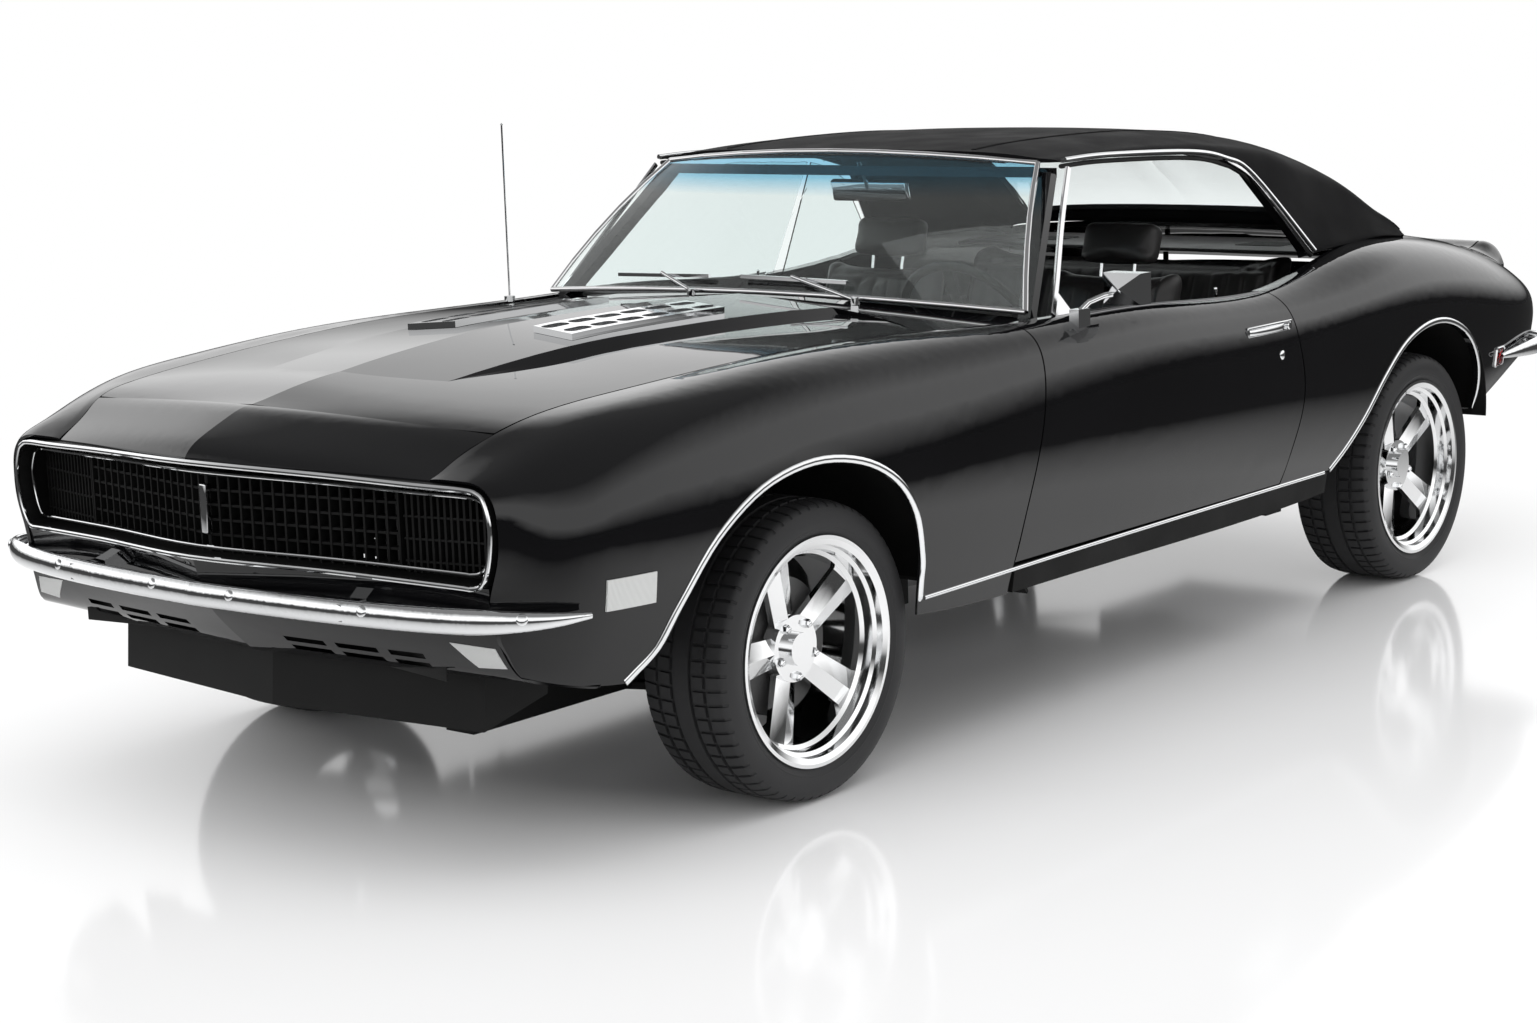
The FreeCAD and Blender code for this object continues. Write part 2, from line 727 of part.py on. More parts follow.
# Roof with its sail panels: sections across the car from the crown to the foot on the body.
ROOF_FRONT = -1206
ROOF_BOW = 68
ROOF_SECTIONS = [
    (-1190, 1300, 640, 1262, 700, 1100),
    (-1300, 1309, 641, 1268, 720, 1060),
    (-1600, 1320, 643, 1272, 745, 1000),
    (-1900, 1320, 645, 1262, 750, 960),
    (-2150, 1309, 647, 1240, 745, 950),
    (-2350, 1292, 645, 1208, 735, 955),
    (-2500, 1270, 643, 1168, 725, 962),
    (-2650, 1225, 648, 1130, 716, 965),
    (-2800, 1150, 660, 1070, 706, 966),
    (-2900, 1085, 670, 1020, 701, 962),
    (-2985, 1000, 680, 978, 697, 958),
]


def roof_section(ahead):
    """Section of the roof and the sail panel: the crown, the turned edge and the foot on the body."""
    crown, edge_left, edge_height, foot_left, foot_height = (line(ahead) for line in ROOF_LINES)
    sink = crown - edge_height
    lean = foot_left - edge_left
    fall = foot_height - edge_height
    points = [(0, crown), (0.30 * edge_left, crown - 0.03 * sink), (0.58 * edge_left, crown - 0.13 * sink),
              (0.80 * edge_left, crown - 0.36 * sink), (0.93 * edge_left, crown - 0.68 * sink),
              (edge_left, edge_height), (edge_left + 0.30 * lean, edge_height + 0.26 * fall),
              (edge_left + 0.62 * lean, edge_height + 0.58 * fall), (foot_left, foot_height)]
    return (Curve([(k, point[0]) for k, point in enumerate(points)]),
            Curve([(k, point[1]) for k, point in enumerate(points)]))


ROOF_LINES = [Curve([(section[0], section[k]) for section in ROOF_SECTIONS]) for k in range(1, 6)]


def roof_grid(front, rear, bow, columns=16, last=16):
    """Grid of the roof; its front edge sweeps back by bow towards the sides."""
    grid = []
    for i in range(columns + 1):
        line = []
        for k in range(last + 1):
            near = min(k / 10, 1.0)
            start = front - bow * near * near
            ahead = start + (rear - start) * i / columns
            section_left, section_height = roof_section(ahead)
            line.append(at(ahead, section_left(k / 2), section_height(k / 2)))
        grid.append(line)
    return grid


SIDE_WINDOW = [(-1100, 900), (-1100, 1268), (-1300, 1268), (-1600, 1268), (-1850, 1256), (-2020, 1228), (-2125, 1186),
               (-2330, 965), (-2330, 900)]
REAR_WINDOW_TOP = -2500
REAR_WINDOW_BOTTOM = -2960


def rear_window_prism(margin, low=700, high=1500):
    """Upright prism through the rear window's opening."""
    corners = [(REAR_WINDOW_TOP - margin, -500 + margin), (REAR_WINDOW_TOP - margin, 500 - margin),
               (REAR_WINDOW_BOTTOM + margin, 590 - margin), (REAR_WINDOW_BOTTOM + margin, -590 + margin)]
    points = [at(ahead, left, low) for ahead, left in corners]
    return plate(points, at(0, 0, high) - at(0, 0, low))


def roof_half():
    grid = roof_grid(ROOF_FRONT, DECK_FRONT, ROOF_BOW)
    half = thicken(grid, size("roof_thickness"), V(0, -0.6, -1))
    half = half.cut(side_prism(SIDE_WINDOW, 500, 960))
    return left_half(half)


def make_roof():
    whole = both_halves(roof_half())
    return whole.cut(rear_window_prism(0))


def make_rear_window():
    grid = roof_grid(REAR_WINDOW_TOP, REAR_WINDOW_BOTTOM, 0, 6, 11)
    lowered = drop(grid, 6)
    pane = slab(lowered, drop(lowered, size("glass_thickness")))
    return both_halves(left_half(pane.common(rear_window_prism(0))))


def windshield_point(share, up, proud=0):
    """Point of the windshield; share runs from the centre to the side, up from base to header."""
    base = (WINDSHIELD_BASE_CENTRE + (WINDSHIELD_BASE_CORNER - WINDSHIELD_BASE_CENTRE) * abs(share) ** 2.2,
            758 * share, 966 - 26 * share ** 2)
    top = (-1178 - 62 * abs(share) ** 2.2, 592 * share, 1296 - 30 * share ** 2)
    bow = 4 * up * (1 - up) * 14
    ahead = base[0] + (top[0] - base[0]) * up + bow
    left = base[1] + (top[1] - base[1]) * up
    height = base[2] + (top[2] - base[2]) * up + bow * 0.9
    return at(ahead + proud * 0.73, left, height + proud * 0.68)


def windshield_grid(proud):
    """Left half of the windshield from base to header, bowed forward in the middle."""
    return [[windshield_point(j / 8, i / 5, proud) for j in range(9)] for i in range(6)]


def make_windshield():
    return both_halves(slab(windshield_grid(0), windshield_grid(-size("glass_thickness"))))


def make_cowl_and_pillars():
    """Cowl strip, the two windshield pillars and the rail over the windshield."""
    foot = at(-955, 742, 912)
    knee = at(-1262, 606, 1240)
    pillar = bar(foot, knee, 34, 30, V(0, 1, 0))
    rail = bar(at(-1262, -622, 1242), at(-1262, 622, 1242), 30, 24, V(1, 0, 0))
    return fused([make_cowl(), pillar, mirrored(pillar), rail])


DOOR_GLASS = [(-992, 890), (-992, 936), (-1275, 1232), (-1600, 1240), (-1912, 1222), (-1926, 870), (-1600, 880)]
QUARTER_GLASS = [(-1942, 890), (-1930, 1220), (-2004, 1205), (-2100, 1163), (-2316, 957), (-2316, 930), (-2240, 914)]


def side_glass(corners, left_at_seam, taper, lean, thickness):
    """Flat side window through the rear seam of the door at belt height; corners as (ahead, height)."""
    points = []
    for ahead, height in corners:
        points.append(at(ahead, left_at_seam + (ahead + 1935) * taper - (height - 935) * lean, height))
    return plate(points, V(0, -thickness, 0))


# Floor, sills, bulkhead and boot in one folded sheet; (ahead, height) along its upper face.
FLOOR_LINE = [(-640, 905), (-600, 520), (-760, 318), (-2150, 306), (-2225, 470), (-2480, 490), (-2600, 560),
              (-2860, 560), (-2960, 440), (-3600, 440)]
TUNNEL_RADIUS = 125
FLOOR_HALF = 770


def folded_sheet(line, half, thickness):
    """Sheet of even thickness folded along a line of (ahead, height) points."""
    lower = []
    for i, (ahead, height) in enumerate(line):
        before = line[max(i - 1, 0)]
        after = line[min(i + 1, len(line) - 1)]
        length = math.hypot(after[0] - before[0], after[1] - before[1])
        lower.append((ahead - (after[1] - before[1]) / length * thickness,
                      height + (after[0] - before[0]) / length * thickness))
    return side_prism(line + lower[::-1], -half, half)


def make_sill():
    """Sill box on the left with its curved outer face; the door shuts down on it."""
    bottom_row = 8
    grid = []
    for j in range(5):
        line = []
        for i in range(13):
            ahead = -600 - (2150 - 600) * i / 12
            top_row = row_at_height(ahead, SILL_TOP)
            row = top_row + (bottom_row - top_row) * j / 4
            line.append(at(*side_point(ahead, row)))
        grid.append(line)
    inner = [[V(point.x, at(0, FLOOR_HALF, 0).y - 6, point.z) for point in line] for line in grid]
    sill = slab(grid, inner)
    return sill.cut(block(at(-669, 700, 200), at(-500, 960, SILL_TOP + 2))).cut(arch_cut(REAR_ARCH))


def make_rear_liner(skin):
    """Liner over the left rear wheel with its inner wall, and the space that it keeps free."""
    inner = at(0, 590, 0).y
    ground = 380
    outline = REAR_LINER + [(REAR_LINER[-1][0], ground), (REAR_LINER[0][0], ground)]
    filled = side_prism(outline, 590, 905, smooth=(0, len(REAR_LINER) - 1))
    wall = filled.common(block(V(-6000, inner, 0), V(6000, inner + LINER_THICKNESS, 2000)))
    liner = band(REAR_LINER, REAR_ARCH_MIDDLE, LINER_THICKNESS, 590, 905)
    space = filled.cut(wall)
    return inside_of(fused([liner, wall]), skin), space


HINGE_REACH = 158
# Behind the rear wheels the boot floor ends at upright walls inside the quarters.
BOOT_WALL_LEFT = 560
BOOT_WALL_AHEAD = -3112
BOOT_WALL_REAR = -3560
BOOT_WALL_TOP = 600


def make_hinge_pillar():
    """Side of the footwell that carries the left door; its rear edge follows the door's front face."""
    heights = [SILL_TOP, 480, 560, 640, 720, 800, 860]
    edge = [(DOOR_FRONT_SEAM(height) - size("door_gap") / 2 - 12, height) for height in heights]
    outline = edge + [(-628, 860), (-612, 640), (-606, 560), (-640, SILL_TOP)]
    pillar = side_prism(outline, 850, 868, smooth=(0, len(edge) - 1))
    return pillar.cut(door.translated(V(0.3, 0, 0)))


def with_boot_walls(floor):
    """The floor narrowed behind the rear wheels, with the boot's side walls on its edges."""
    floor_height = FLOOR_LINE[-1][1]
    corner = block(at(FLOOR_LINE[-1][0] - 20, BOOT_WALL_LEFT, floor_height - 40),
                   at(BOOT_WALL_AHEAD, FLOOR_HALF + 20, floor_height + 20))
    wall = block(at(BOOT_WALL_REAR, BOOT_WALL_LEFT - size("floor_thickness"), floor_height - 1),
                 at(BOOT_WALL_AHEAD, BOOT_WALL_LEFT, BOOT_WALL_TOP))
    return fused([floor.cut(corner).cut(mirrored(corner)), wall, mirrored(wall)])


def make_underbody():
    floor = with_boot_walls(folded_sheet(FLOOR_LINE, FLOOR_HALF, size("floor_thickness")))
    tunnel_start = at(-620, 0, 0).x
    tunnel_end = at(-2260, 0, 0).x
    tunnel_z = at(0, 0, 300).z
    length = tunnel_start - tunnel_end
    pipe = Part.makeCylinder(TUNNEL_RADIUS, length, V(tunnel_end, 0, tunnel_z), V(1, 0, 0))
    bore = Part.makeCylinder(TUNNEL_RADIUS - 6, length + 40, V(tunnel_end - 20, 0, tunnel_z), V(1, 0, 0))
    above = block(V(tunnel_end, -400, tunnel_z - 20), V(tunnel_start, 400, 2000))
    floor = fused([floor, pipe.common(above)]).cut(bore)
    liner, space = make_rear_liner(quarter)
    floor = floor.cut(space).cut(mirrored(space))
    pad = block(at(-1980, 790, 312), at(-1900, 850, 334))
    swing = Part.makeCylinder(HINGE_REACH, 800, at(DOOR_HINGE_AHEAD, DOOR_HINGE_LEFT, SILL_TOP))
    bulkhead = folded_sheet(FLOOR_LINE[:3], 868, size("floor_thickness"))
    bulkhead = bulkhead.cut(swing).cut(mirrored(swing))
    bulkhead = bulkhead.cut(block(at(-900, -960, 862), at(-500, -700, 1000)))
    bulkhead = bulkhead.cut(block(at(-900, 700, 862), at(-500, 960, 1000)))
    pieces = [floor, bulkhead]
    for piece in (make_sill(), liner, pad, make_hinge_pillar()):
        pieces += [piece, mirrored(piece)]
    return fused(pieces)


def make_inner_fenders(bulkhead):
    """Engine-bay side walls with the arched liners over the front wheels."""
    wall = block(at(-640, 462, 330), at(640, 466, 860))
    liner = inside_of(band(FRONT_LINER, FRONT_ARCH_MIDDLE, LINER_THICKNESS, 466, 890), fender)
    arm_opening = block(at(-150, 450, 300), at(150, 480, 450))
    stops = [hood_stop(ahead, 464) for ahead in (-450, 560)]
    side = largest(fused([wall, liner] + stops).cut(arm_opening).cut(bulkhead).cut(fender))
    return Part.makeCompound([side, mirrored(side)])


def hood_stop(ahead, left):
    """Rubber-tipped stop from the engine-bay wall to the underside of the hood."""
    reach = 8
    under = min(hood_height(ahead + x, left + y) for x in (-reach, reach) for y in (-reach, reach))
    foot = at(ahead, left, 840)
    tip = at(ahead, left, under).z - size("hood_thickness") - GAP
    return Part.makeCylinder(reach, tip - foot.z, foot)


def nose_ahead(left):
    """Plan of the nose across the grille's mouth, an arrow that flattens towards its ends."""
    share = min(abs(left) / 700, 1.0)
    return MOUTH_TOP_CENTRE + (MOUTH_END - MOUTH_TOP_CENTRE) * (0.85 * share + 0.15 * share * share)


# The valance from the mouth down: (ahead, height) on the centre line, then ahead, left and height
# at its end, where it meets the fender.
VALANCE_LEVELS = [(951, 600, 827, 712, 590), (939, 560, 823, 706, 550), (919, 505, 816, 712, 500),
                  (880, 455, 798, 730, 436), (835, 410, 772, 747, 404), (790, 382, 706, 786, 385),
                  (720, 382, 644, 812, 383)]
PARKING_LAMP = [(599, 475), (706, 471), (722, 430), (650, 425)]


def valance_skin(proud, thickness, columns=12):
    """Left half of the valance as a sheet that starts proud of its outer face."""
    grid = []
    for ahead_centre, height_centre, ahead_end, left_end, height_end in VALANCE_LEVELS:
        line = []
        for j in range(columns + 1):
            share = j / columns
            ahead = ahead_centre + (ahead_end - ahead_centre) * (0.85 * share + 0.15 * share * share)
            height = height_centre + (height_end - height_centre) * share
            line.append(at(ahead + proud, left_end * share, height))
        grid.append(line)
    return thicken(grid, thickness, V(-1, 0, 0.3))


def parking_lamp_prism(inset):
    """Prism along the car through the parking lamp's opening, smaller by inset all round."""
    middle_left = sum(left for left, height in PARKING_LAMP) / len(PARKING_LAMP)
    middle_height = sum(height for left, height in PARKING_LAMP) / len(PARKING_LAMP)
    corners = []
    for left, height in PARKING_LAMP:
        corners.append(at(600, left - math.copysign(inset, left - middle_left),
                          height - math.copysign(inset, height - middle_height)))
    return plate(corners, V(400, 0, 0))


VALANCE_SLOTS = [(150, 260), (290, 400), (430, 520)]
VALANCE_SLOT_HEIGHT = 12
VALANCE_SLOT_LEVELS = (408, 430)


def make_front_valance():
    """Panel under the mouth: upright behind the bumper, then raked back to the air dam."""
    half = valance_skin(0, 5)
    openings = [parking_lamp_prism(0)]
    for left_low, left_high in VALANCE_SLOTS:
        for height in VALANCE_SLOT_LEVELS:
            openings.append(block(at(500, left_low, height), at(1000, left_high, height + VALANCE_SLOT_HEIGHT)))
    half = largest(half.cut(Part.makeCompound(openings)).cut(fender))
    return half.fuse(mirrored(half))


def make_grille(frame):
    """Egg-crate grille folded along the centre: level slats with upright bars through them."""
    pitch = size("grille_pitch")
    face = size("grille_bar")
    depth = 22
    back = 62
    reach = 470
    low = at(0, 0, 614).z
    high = at(0, 0, 766).z
    root = at(nose_ahead(0) - back, 0, 0)
    tip = at(nose_ahead(reach) - back, reach, 0)
    along = tip - root
    length = along.Length
    pieces = []
    rows = int((high - low) // pitch)
    for k in range(rows + 1):
        height = low + (high - low) * k / rows
        start = V(root.x, 0, height)
        pieces.append(bar(start, V(tip.x, tip.y, height), face, depth, V(0, 0, 1)))
    columns = int(length // pitch)
    for k in range(columns + 1):
        foot = root + along * (k / columns)
        pieces.append(bar(V(foot.x, foot.y, low - 9), V(foot.x, foot.y, high), face, depth + 4, along))
    return both_halves(left_half(fused(pieces).cut(frame)))


MOUTH = [(0, 603), (350, 597), (640, 586), (680, 584), (705, 594), (724, 638), (732, 706), (719, 757), (702, 774),
         (670, 781), (560, 785), (350, 794), (0, 804)]
MOUTH_DEPTH = 75
COVER_START = 478
COVER_RIBS = 15
COVER_BARS = 4


def make_lamp_covers(frame):
    """Doors over the headlamps at both ends of the grille, with upright ribs."""
    back = 60
    left_high = 700
    root = at(nose_ahead(COVER_START) - back, COVER_START, 600)
    tip = at(nose_ahead(left_high) - back, left_high, 600)
    top = at(0, 0, 776).z
    along = tip - root
    middle = (root.z + top) / 2
    panel = bar(V(root.x - 10, root.y, middle), V(tip.x - 10, tip.y, middle) + along * 0.2, top - root.z + 12, 8,
                V(0, 0, 1))
    pieces = [panel]
    for k in range(COVER_RIBS):
        foot = root + along * ((k + 0.5) / COVER_RIBS)
        pieces.append(bar(V(foot.x, foot.y, root.z), V(foot.x, foot.y, top), 5, 14, along))
    for k in range(COVER_BARS):
        height = root.z + (top - root.z) * (k + 0.5) / COVER_BARS
        pieces.append(bar(V(root.x, root.y, height), V(tip.x, tip.y, height), 4, 12, V(0, 0, 1)))
    opening = plate([at(600, left, height) for left, height in MOUTH], V(500, 0, 0))
    cover = largest(fused(pieces).common(opening).cut(frame).cut(fender))
    return Part.makeCompound([cover, mirrored(cover)])


def make_grille_frame(header):
    """Walls of the recess that the grille lies in."""
    pieces = []
    for (left_a, height_a), (left_b, height_b) in zip(MOUTH, MOUTH[1:]):
        a = at(nose_ahead(left_a) + 2, left_a, height_a)
        b = at(nose_ahead(left_b) + 2, left_b, height_b)
        pieces.append(ribbon(a, b, V(-MOUTH_DEPTH, 0, 0), 7))
    return both_halves(left_half(fused(pieces).cut(header).cut(fender).cut(valance)))


def ribbon(a, b, deep, thickness):
    """Strip from the line a-b backwards, thickened towards the middle of the mouth."""
    along = b - a
    normal = along.cross(deep)
    normal.normalize()
    middle = V(a.x, 0, at(0, 0, 695).z)
    if normal.dot(middle - a) < 0:
        normal = normal * -1
    along.normalize()
    a = a - along * 1.5
    b = b + along * 1.5
    return plate([a, b, b + deep, a + deep], normal * thickness)


BUMPER_PATH = [(970, 0), (962, 180), (948, 360), (922, 540), (884, 684), (849, 754), (804, 809),
               (754, 844), (704, 862)]
REAR_BUMPER_PATH = [(-3720, 0), (-3718, 200), (-3714, 420), (-3706, 600), (-3690, 730), (-3660, 815), (-3610, 866),
                    (-3520, 896), (-3400, 907), (-3200, 914)]
BUMPER_SECTION = [(0, 24), (12, 19), (18, 6), (18, -8), (12, -22), (-2, -27)]
BUMPER_DEPTH = 18
BUMPER_SHEET = 4
BUMPER_HEIGHT = 533
REAR_BUMPER_HEIGHT = 590
BRACKET_LEFT = (380, 420)


def bumper_grid(path, section, height, direction):
    """Grid of points of a bumper: a curved section carried along its plan to a pointed tip."""
    marks = chord_marks(path)
    ahead_of = Curve(list(zip(marks, [p[0] for p in path])))
    left_of = Curve(list(zip(marks, [p[1] for p in path])))
    grid = []
    count = 24
    for i in range(count + 1):
        mark = marks[-1] * i / count
        ahead, left = ahead_of(mark), left_of(mark)
        slope_x = ahead_of(min(mark + 1, marks[-1])) - ahead_of(max(mark - 1, 0))
        slope_y = left_of(min(mark + 1, marks[-1])) - left_of(max(mark - 1, 0))
        length = math.hypot(slope_x, slope_y)
        out_x, out_y = direction * slope_y / length, -direction * slope_x / length
        if i == 0:
            out_x, out_y = direction, 0.0
        near_tip = max(0.0, (i / count - 0.72) / 0.28)
        tall = 1.0 - 0.72 * near_tip ** 1.6
        deep = 1.0 - 0.5 * near_tip
        line = []
        for out, up in section:
            reach = (out - BUMPER_DEPTH) * deep
            line.append(at(ahead + out_x * reach, left + out_y * reach if i else 0.0, height + up * tall))
        grid.append(line)
    return grid


def bumper_bar(path, height, direction):
    """Left half of a bumper bar, hollow behind its face."""
    inner = [(out - BUMPER_SHEET, up * 0.88) for out, up in BUMPER_SECTION]
    return slab(bumper_grid(path, BUMPER_SECTION, height, direction), bumper_grid(path, inner, height, direction))


def make_bumper_front():
    bracket = block(at(820, BRACKET_LEFT[0], 515), at(939, BRACKET_LEFT[1], 549))
    return both_halves(fused([bumper_bar(BUMPER_PATH, BUMPER_HEIGHT, 1), bracket])), bracket


def make_bumper_rear():
    bracket = block(at(-3710, BRACKET_LEFT[0], 572), at(-3610, BRACKET_LEFT[1], 606))
    return both_halves(fused([bumper_bar(REAR_BUMPER_PATH, REAR_BUMPER_HEIGHT, -1), bracket])), bracket


DAM_CORNERS = [(575, 604), (704, 556), (768, 0)]
DAM_BOTTOM = 262
DAM_TOP = 395
# The dam ends just under the valance, whose underside falls evenly towards the sides.
VALANCE_UNDER_CENTRE = 390.9
VALANCE_UNDER_FALL = 0.0201
DAM_RAKE = 12


def make_air_dam():
    """Flat air dam hung under the valance, arrow-shaped in plan with its ends turned back."""
    thickness = 5
    outer = DAM_CORNERS + [(ahead, -left) for ahead, left in DAM_CORNERS[-2::-1]]
    inner = [(575, 604 - 1.2 * thickness), (704 - thickness, 556 - thickness), (768 - thickness, 0)]
    inner += [(ahead, -left) for ahead, left in inner[-2::-1]]
    corners = [at(ahead, left, DAM_BOTTOM) for ahead, left in outer + inner[::-1]]
    sheet_metal = plate(corners, V(-DAM_RAKE, 0, at(0, 0, DAM_TOP).z - corners[0].z))
    slope = plate([at(500, -900, 200), at(705, -900, 200), at(705, -900, DAM_BOTTOM), at(500, -900, 350)],
                  V(0, 1800, 0))
    reach = 620
    side = VALANCE_UNDER_CENTRE - VALANCE_UNDER_FALL * reach
    above = plate([at(400, -reach, side), at(400, 0, VALANCE_UNDER_CENTRE), at(400, reach, side),
                   at(400, reach, 500), at(400, -reach, 500)], V(500, 0, 0))
    return largest(sheet_metal.cut(slope).cut(above))


# The tail from the decklid down: set back, height on the centre line, height at the end.
TAIL_LEVELS = [(0, 801, 768), (8, 760, 752), (14, 690, 715), (14, 625, 680), (16, 550, 640), (30, 480, 615),
               (60, 420, 600)]
LAMP_LOW = 644
LAMP_HIGH = 736
INNER_LAMP = (334, 484)
OUTER_LAMP = (488, 636)


def deck_stop(left):
    """Stop on a bracket ahead of the tail panel, under the decklid's rear edge."""
    reach = 9
    middle = -3612
    under = deck_height(middle - reach, left + reach)
    tip = at(middle, left, under).z - size("deck_thickness") - GAP
    shelf = block(at(-3658, left - 12, 770), at(-3600, left + 12, 782))
    return fused([shelf, Part.makeCylinder(reach, tip - shelf.BoundBox.ZMin, at(middle, left, 770))])


def make_tail_panel():
    """Panel between the quarters from the decklid to the valance under the bumper."""
    grid = []
    count = 8
    for level, (inset, height_centre, height_end) in enumerate(TAIL_LEVELS):
        half = side_point(-3645, row_at_height(-3645, height_end))[1] - 3
        bend = 2 if level else 3
        line = []
        for j in range(count + 1):
            share = j / count
            height = height_centre + (height_end - height_centre) * share ** bend
            line.append(at(DECK_REAR - tail_back(half * share) + inset, half * share, height))
        grid.append(line)
    inner = [[point + V(6, 0, 0) for point in line] for line in grid]
    panel = slab(grid, inner)
    for low, high in (INNER_LAMP, OUTER_LAMP):
        panel = panel.cut(block(at(-3900, low, LAMP_LOW), at(-3500, high, LAMP_HIGH)))
    whole = both_halves(fused([panel, deck_stop(480)]))
    spacing = size("plate_hole_spacing")
    for left in (-spacing / 2, spacing / 2):
        foot = V(at(-3760, 0, 0).x, left, at(0, 0, 690).z)
        whole = whole.cut(Part.makeCylinder(size("plate_hole_radius"), 200, foot, V(1, 0, 0)))
    return whole


def make_tail_lamps():
    lens = block(at(-3664, INNER_LAMP[0], LAMP_LOW), at(-3640, INNER_LAMP[1], LAMP_HIGH))
    lens_outer = block(at(-3656, OUTER_LAMP[0], LAMP_LOW), at(-3632, OUTER_LAMP[1], LAMP_HIGH))
    return Part.makeCompound([lens, lens_outer, mirrored(lens), mirrored(lens_outer)])


MARKER_AHEAD = (532, 560, 590, 620, 648)
MARKER_HEIGHT = (590, 575, 560, 545, 528)


def make_front_lamps():
    """Parking lamps in the valance and clear side markers on the fenders."""
    parking = valance_skin(1.5, 18).common(parking_lamp_prism(GAP)).cut(fender)
    marker_grid = [[front_lamp_point(ahead, height, 4.5) for ahead in MARKER_AHEAD] for height in MARKER_HEIGHT]
    marker = slab(marker_grid, [[point - V(0, 4.2, 0) for point in line] for line in marker_grid])
    return Part.makeCompound([parking, marker, mirrored(parking), mirrored(marker)])


def strip_along(points, radius):
    """Round bright strip through points of the body."""
    pieces = []
    for a, b in zip(points, points[1:]):
        pieces.append(rod(a, b, radius))
    for point in points[1:-1]:
        pieces.append(Part.makeSphere(radius, point))
    return fused(pieces)


def make_side_trim(carrier):
    """Bright mouldings round the wheel openings and along the sills, standing on the body side."""
    grid = []
    for j in range(13):
        line = []
        for i in range(61):
            ahead = 829 - (829 + 3645) * i / 60
            line.append(at(*side_point(ahead, 8 * j / 12)))
        grid.append(line)
    proud = [[point + V(0, 4.2, 0) for point in line] for line in grid]
    near = [[point + V(0, 0.3, 0) for point in line] for line in grid]
    skin = slab(proud, near)
    width = size("trim_width")
    pieces = [skin.common(band(FRONT_ARCH, FRONT_ARCH_MIDDLE, width, 700, 1000)),
              skin.common(band(REAR_ARCH, REAR_ARCH_MIDDLE, width, 700, 1000))]
    sill_line = [(-319, 378), (-319, 390), (-900, 395), (-1500, 399), (-2130, 402), (-2130, 391), (-1500, 389),
                 (-900, 385)]
    pieces.append(skin.common(side_prism(sill_line, 700, 960)))
    pieces = [largest(piece.cut(carrier)) for piece in pieces]
    return Part.makeCompound(pieces + [mirrored(piece) for piece in pieces])


def front_lamp_point(ahead, height, proud):
    point = side_point(ahead, row_at_height(ahead, height))
    return at(point[0], point[1] + proud, point[2])


DRIP_RAIL = [(-1262, 648, 1272), (-1450, 650, 1274), (-1840, 652, 1259), (-2025, 654, 1232), (-2150, 668, 1180),
             (-2345, 745, 965)]


def make_window_trim(windshield, roof):
    """Bright surround of the windshield and the drip rails over the side windows."""
    grid = windshield_grid(2)
    left_edge = [line[-1] for line in grid]
    top_edge = grid[-1]
    base_edge = grid[0]
    pieces = [strip_along(left_edge, 7), strip_along(top_edge[::2], 7), strip_along(base_edge[::2], 7)]
    frame = left_half(fused(pieces)).cut(windshield).cut(roof)
    marks = [at(*point) for point in DRIP_RAIL]
    lengths = []
    for a, b in zip(marks, marks[1:]):
        beyond = b - a
        beyond.normalize()
        lengths.append(bar(a, b + beyond * 3, 9, 9, V(0, 0, 1)))
    rail = largest(fused(lengths).cut(roof))
    return Part.makeCompound([both_halves(frame), rail, mirrored(rail)])


WIPERS = [(0.42, 0.36, -0.08), (-0.26, -0.22, -0.66)]


def make_wipers():
    """Two wipers parked on the base of the glass; shares across the glass of pivot and blade ends."""
    pieces = []
    for pivot_share, blade_start, blade_end in WIPERS:
        foot_ahead = WINDSHIELD_BASE_CENTRE + 30 - 50 * pivot_share ** 2
        foot_left = 758 * pivot_share
        foot = at(foot_ahead, foot_left, cowl_height(foot_ahead, foot_left)) + V(0, 0, 0.6)
        middle = (blade_start + blade_end) / 2
        base = Part.makeCylinder(11, 17, foot)
        arm = rod(foot + V(0, 0, 11), windshield_point(middle, 0.075, 22), 4.5)
        blade = bar(windshield_point(blade_start, 0.07, 14), windshield_point(blade_end, 0.075, 14), 9, 10,
                    V(0, 0, 1))
        pieces.append(fused([arm, base, blade]))
    return Part.makeCompound(pieces)


def make_dashboard(cowl):
    outline = [(-902, 896), (-970, 896), (-975, 932), (-1020, 940), (-1075, 925), (-1100, 880),
               (-1085, 720), (-1020, 690),
               (-960, 720)]
    rail = block(at(-905, -250, 890), at(-893, 250, 945)).cut(cowl)
    return fused([side_prism(outline, -690, 690), rail])


def make_front_seats():
    """Two bucket seats with head restraints; each a closed form of its own."""
    half = size("seat_width") / 2
    seats = []
    for sign in (1, -1):
        middle = at(0, 385, 0).y * sign
        low, high = middle - half, middle + half
        cushion = block(V(at(-1830, 0, 0).x, low, at(0, 0, 328).z), V(at(-1300, 0, 0).x, high, at(0, 0, 500).z))
        back = [at(-1740, 0, 480), at(-1850, 0, 480), at(-1985, 0, 985), at(-1890, 0, 1000)]
        back = [V(point.x, low + 10, point.z) for point in back]
        backrest = plate(back, V(0, 2 * half - 20, 0))
        rest = [at(-1900, 0, 990), at(-1985, 0, 978), at(-2022, 0, 1110), at(-1945, 0, 1130)]
        restraint = plate([V(point.x, middle - 125, point.z) for point in rest], V(0, 250, 0))
        foot = block(V(at(-1780, 0, 0).x, low + 60, at(0, 0, 313.4).z),
                     V(at(-1360, 0, 0).x, high - 60, at(0, 0, 330).z))
        seats.append(fused([cushion, backrest, restraint, foot]))
    return Part.makeCompound(seats)


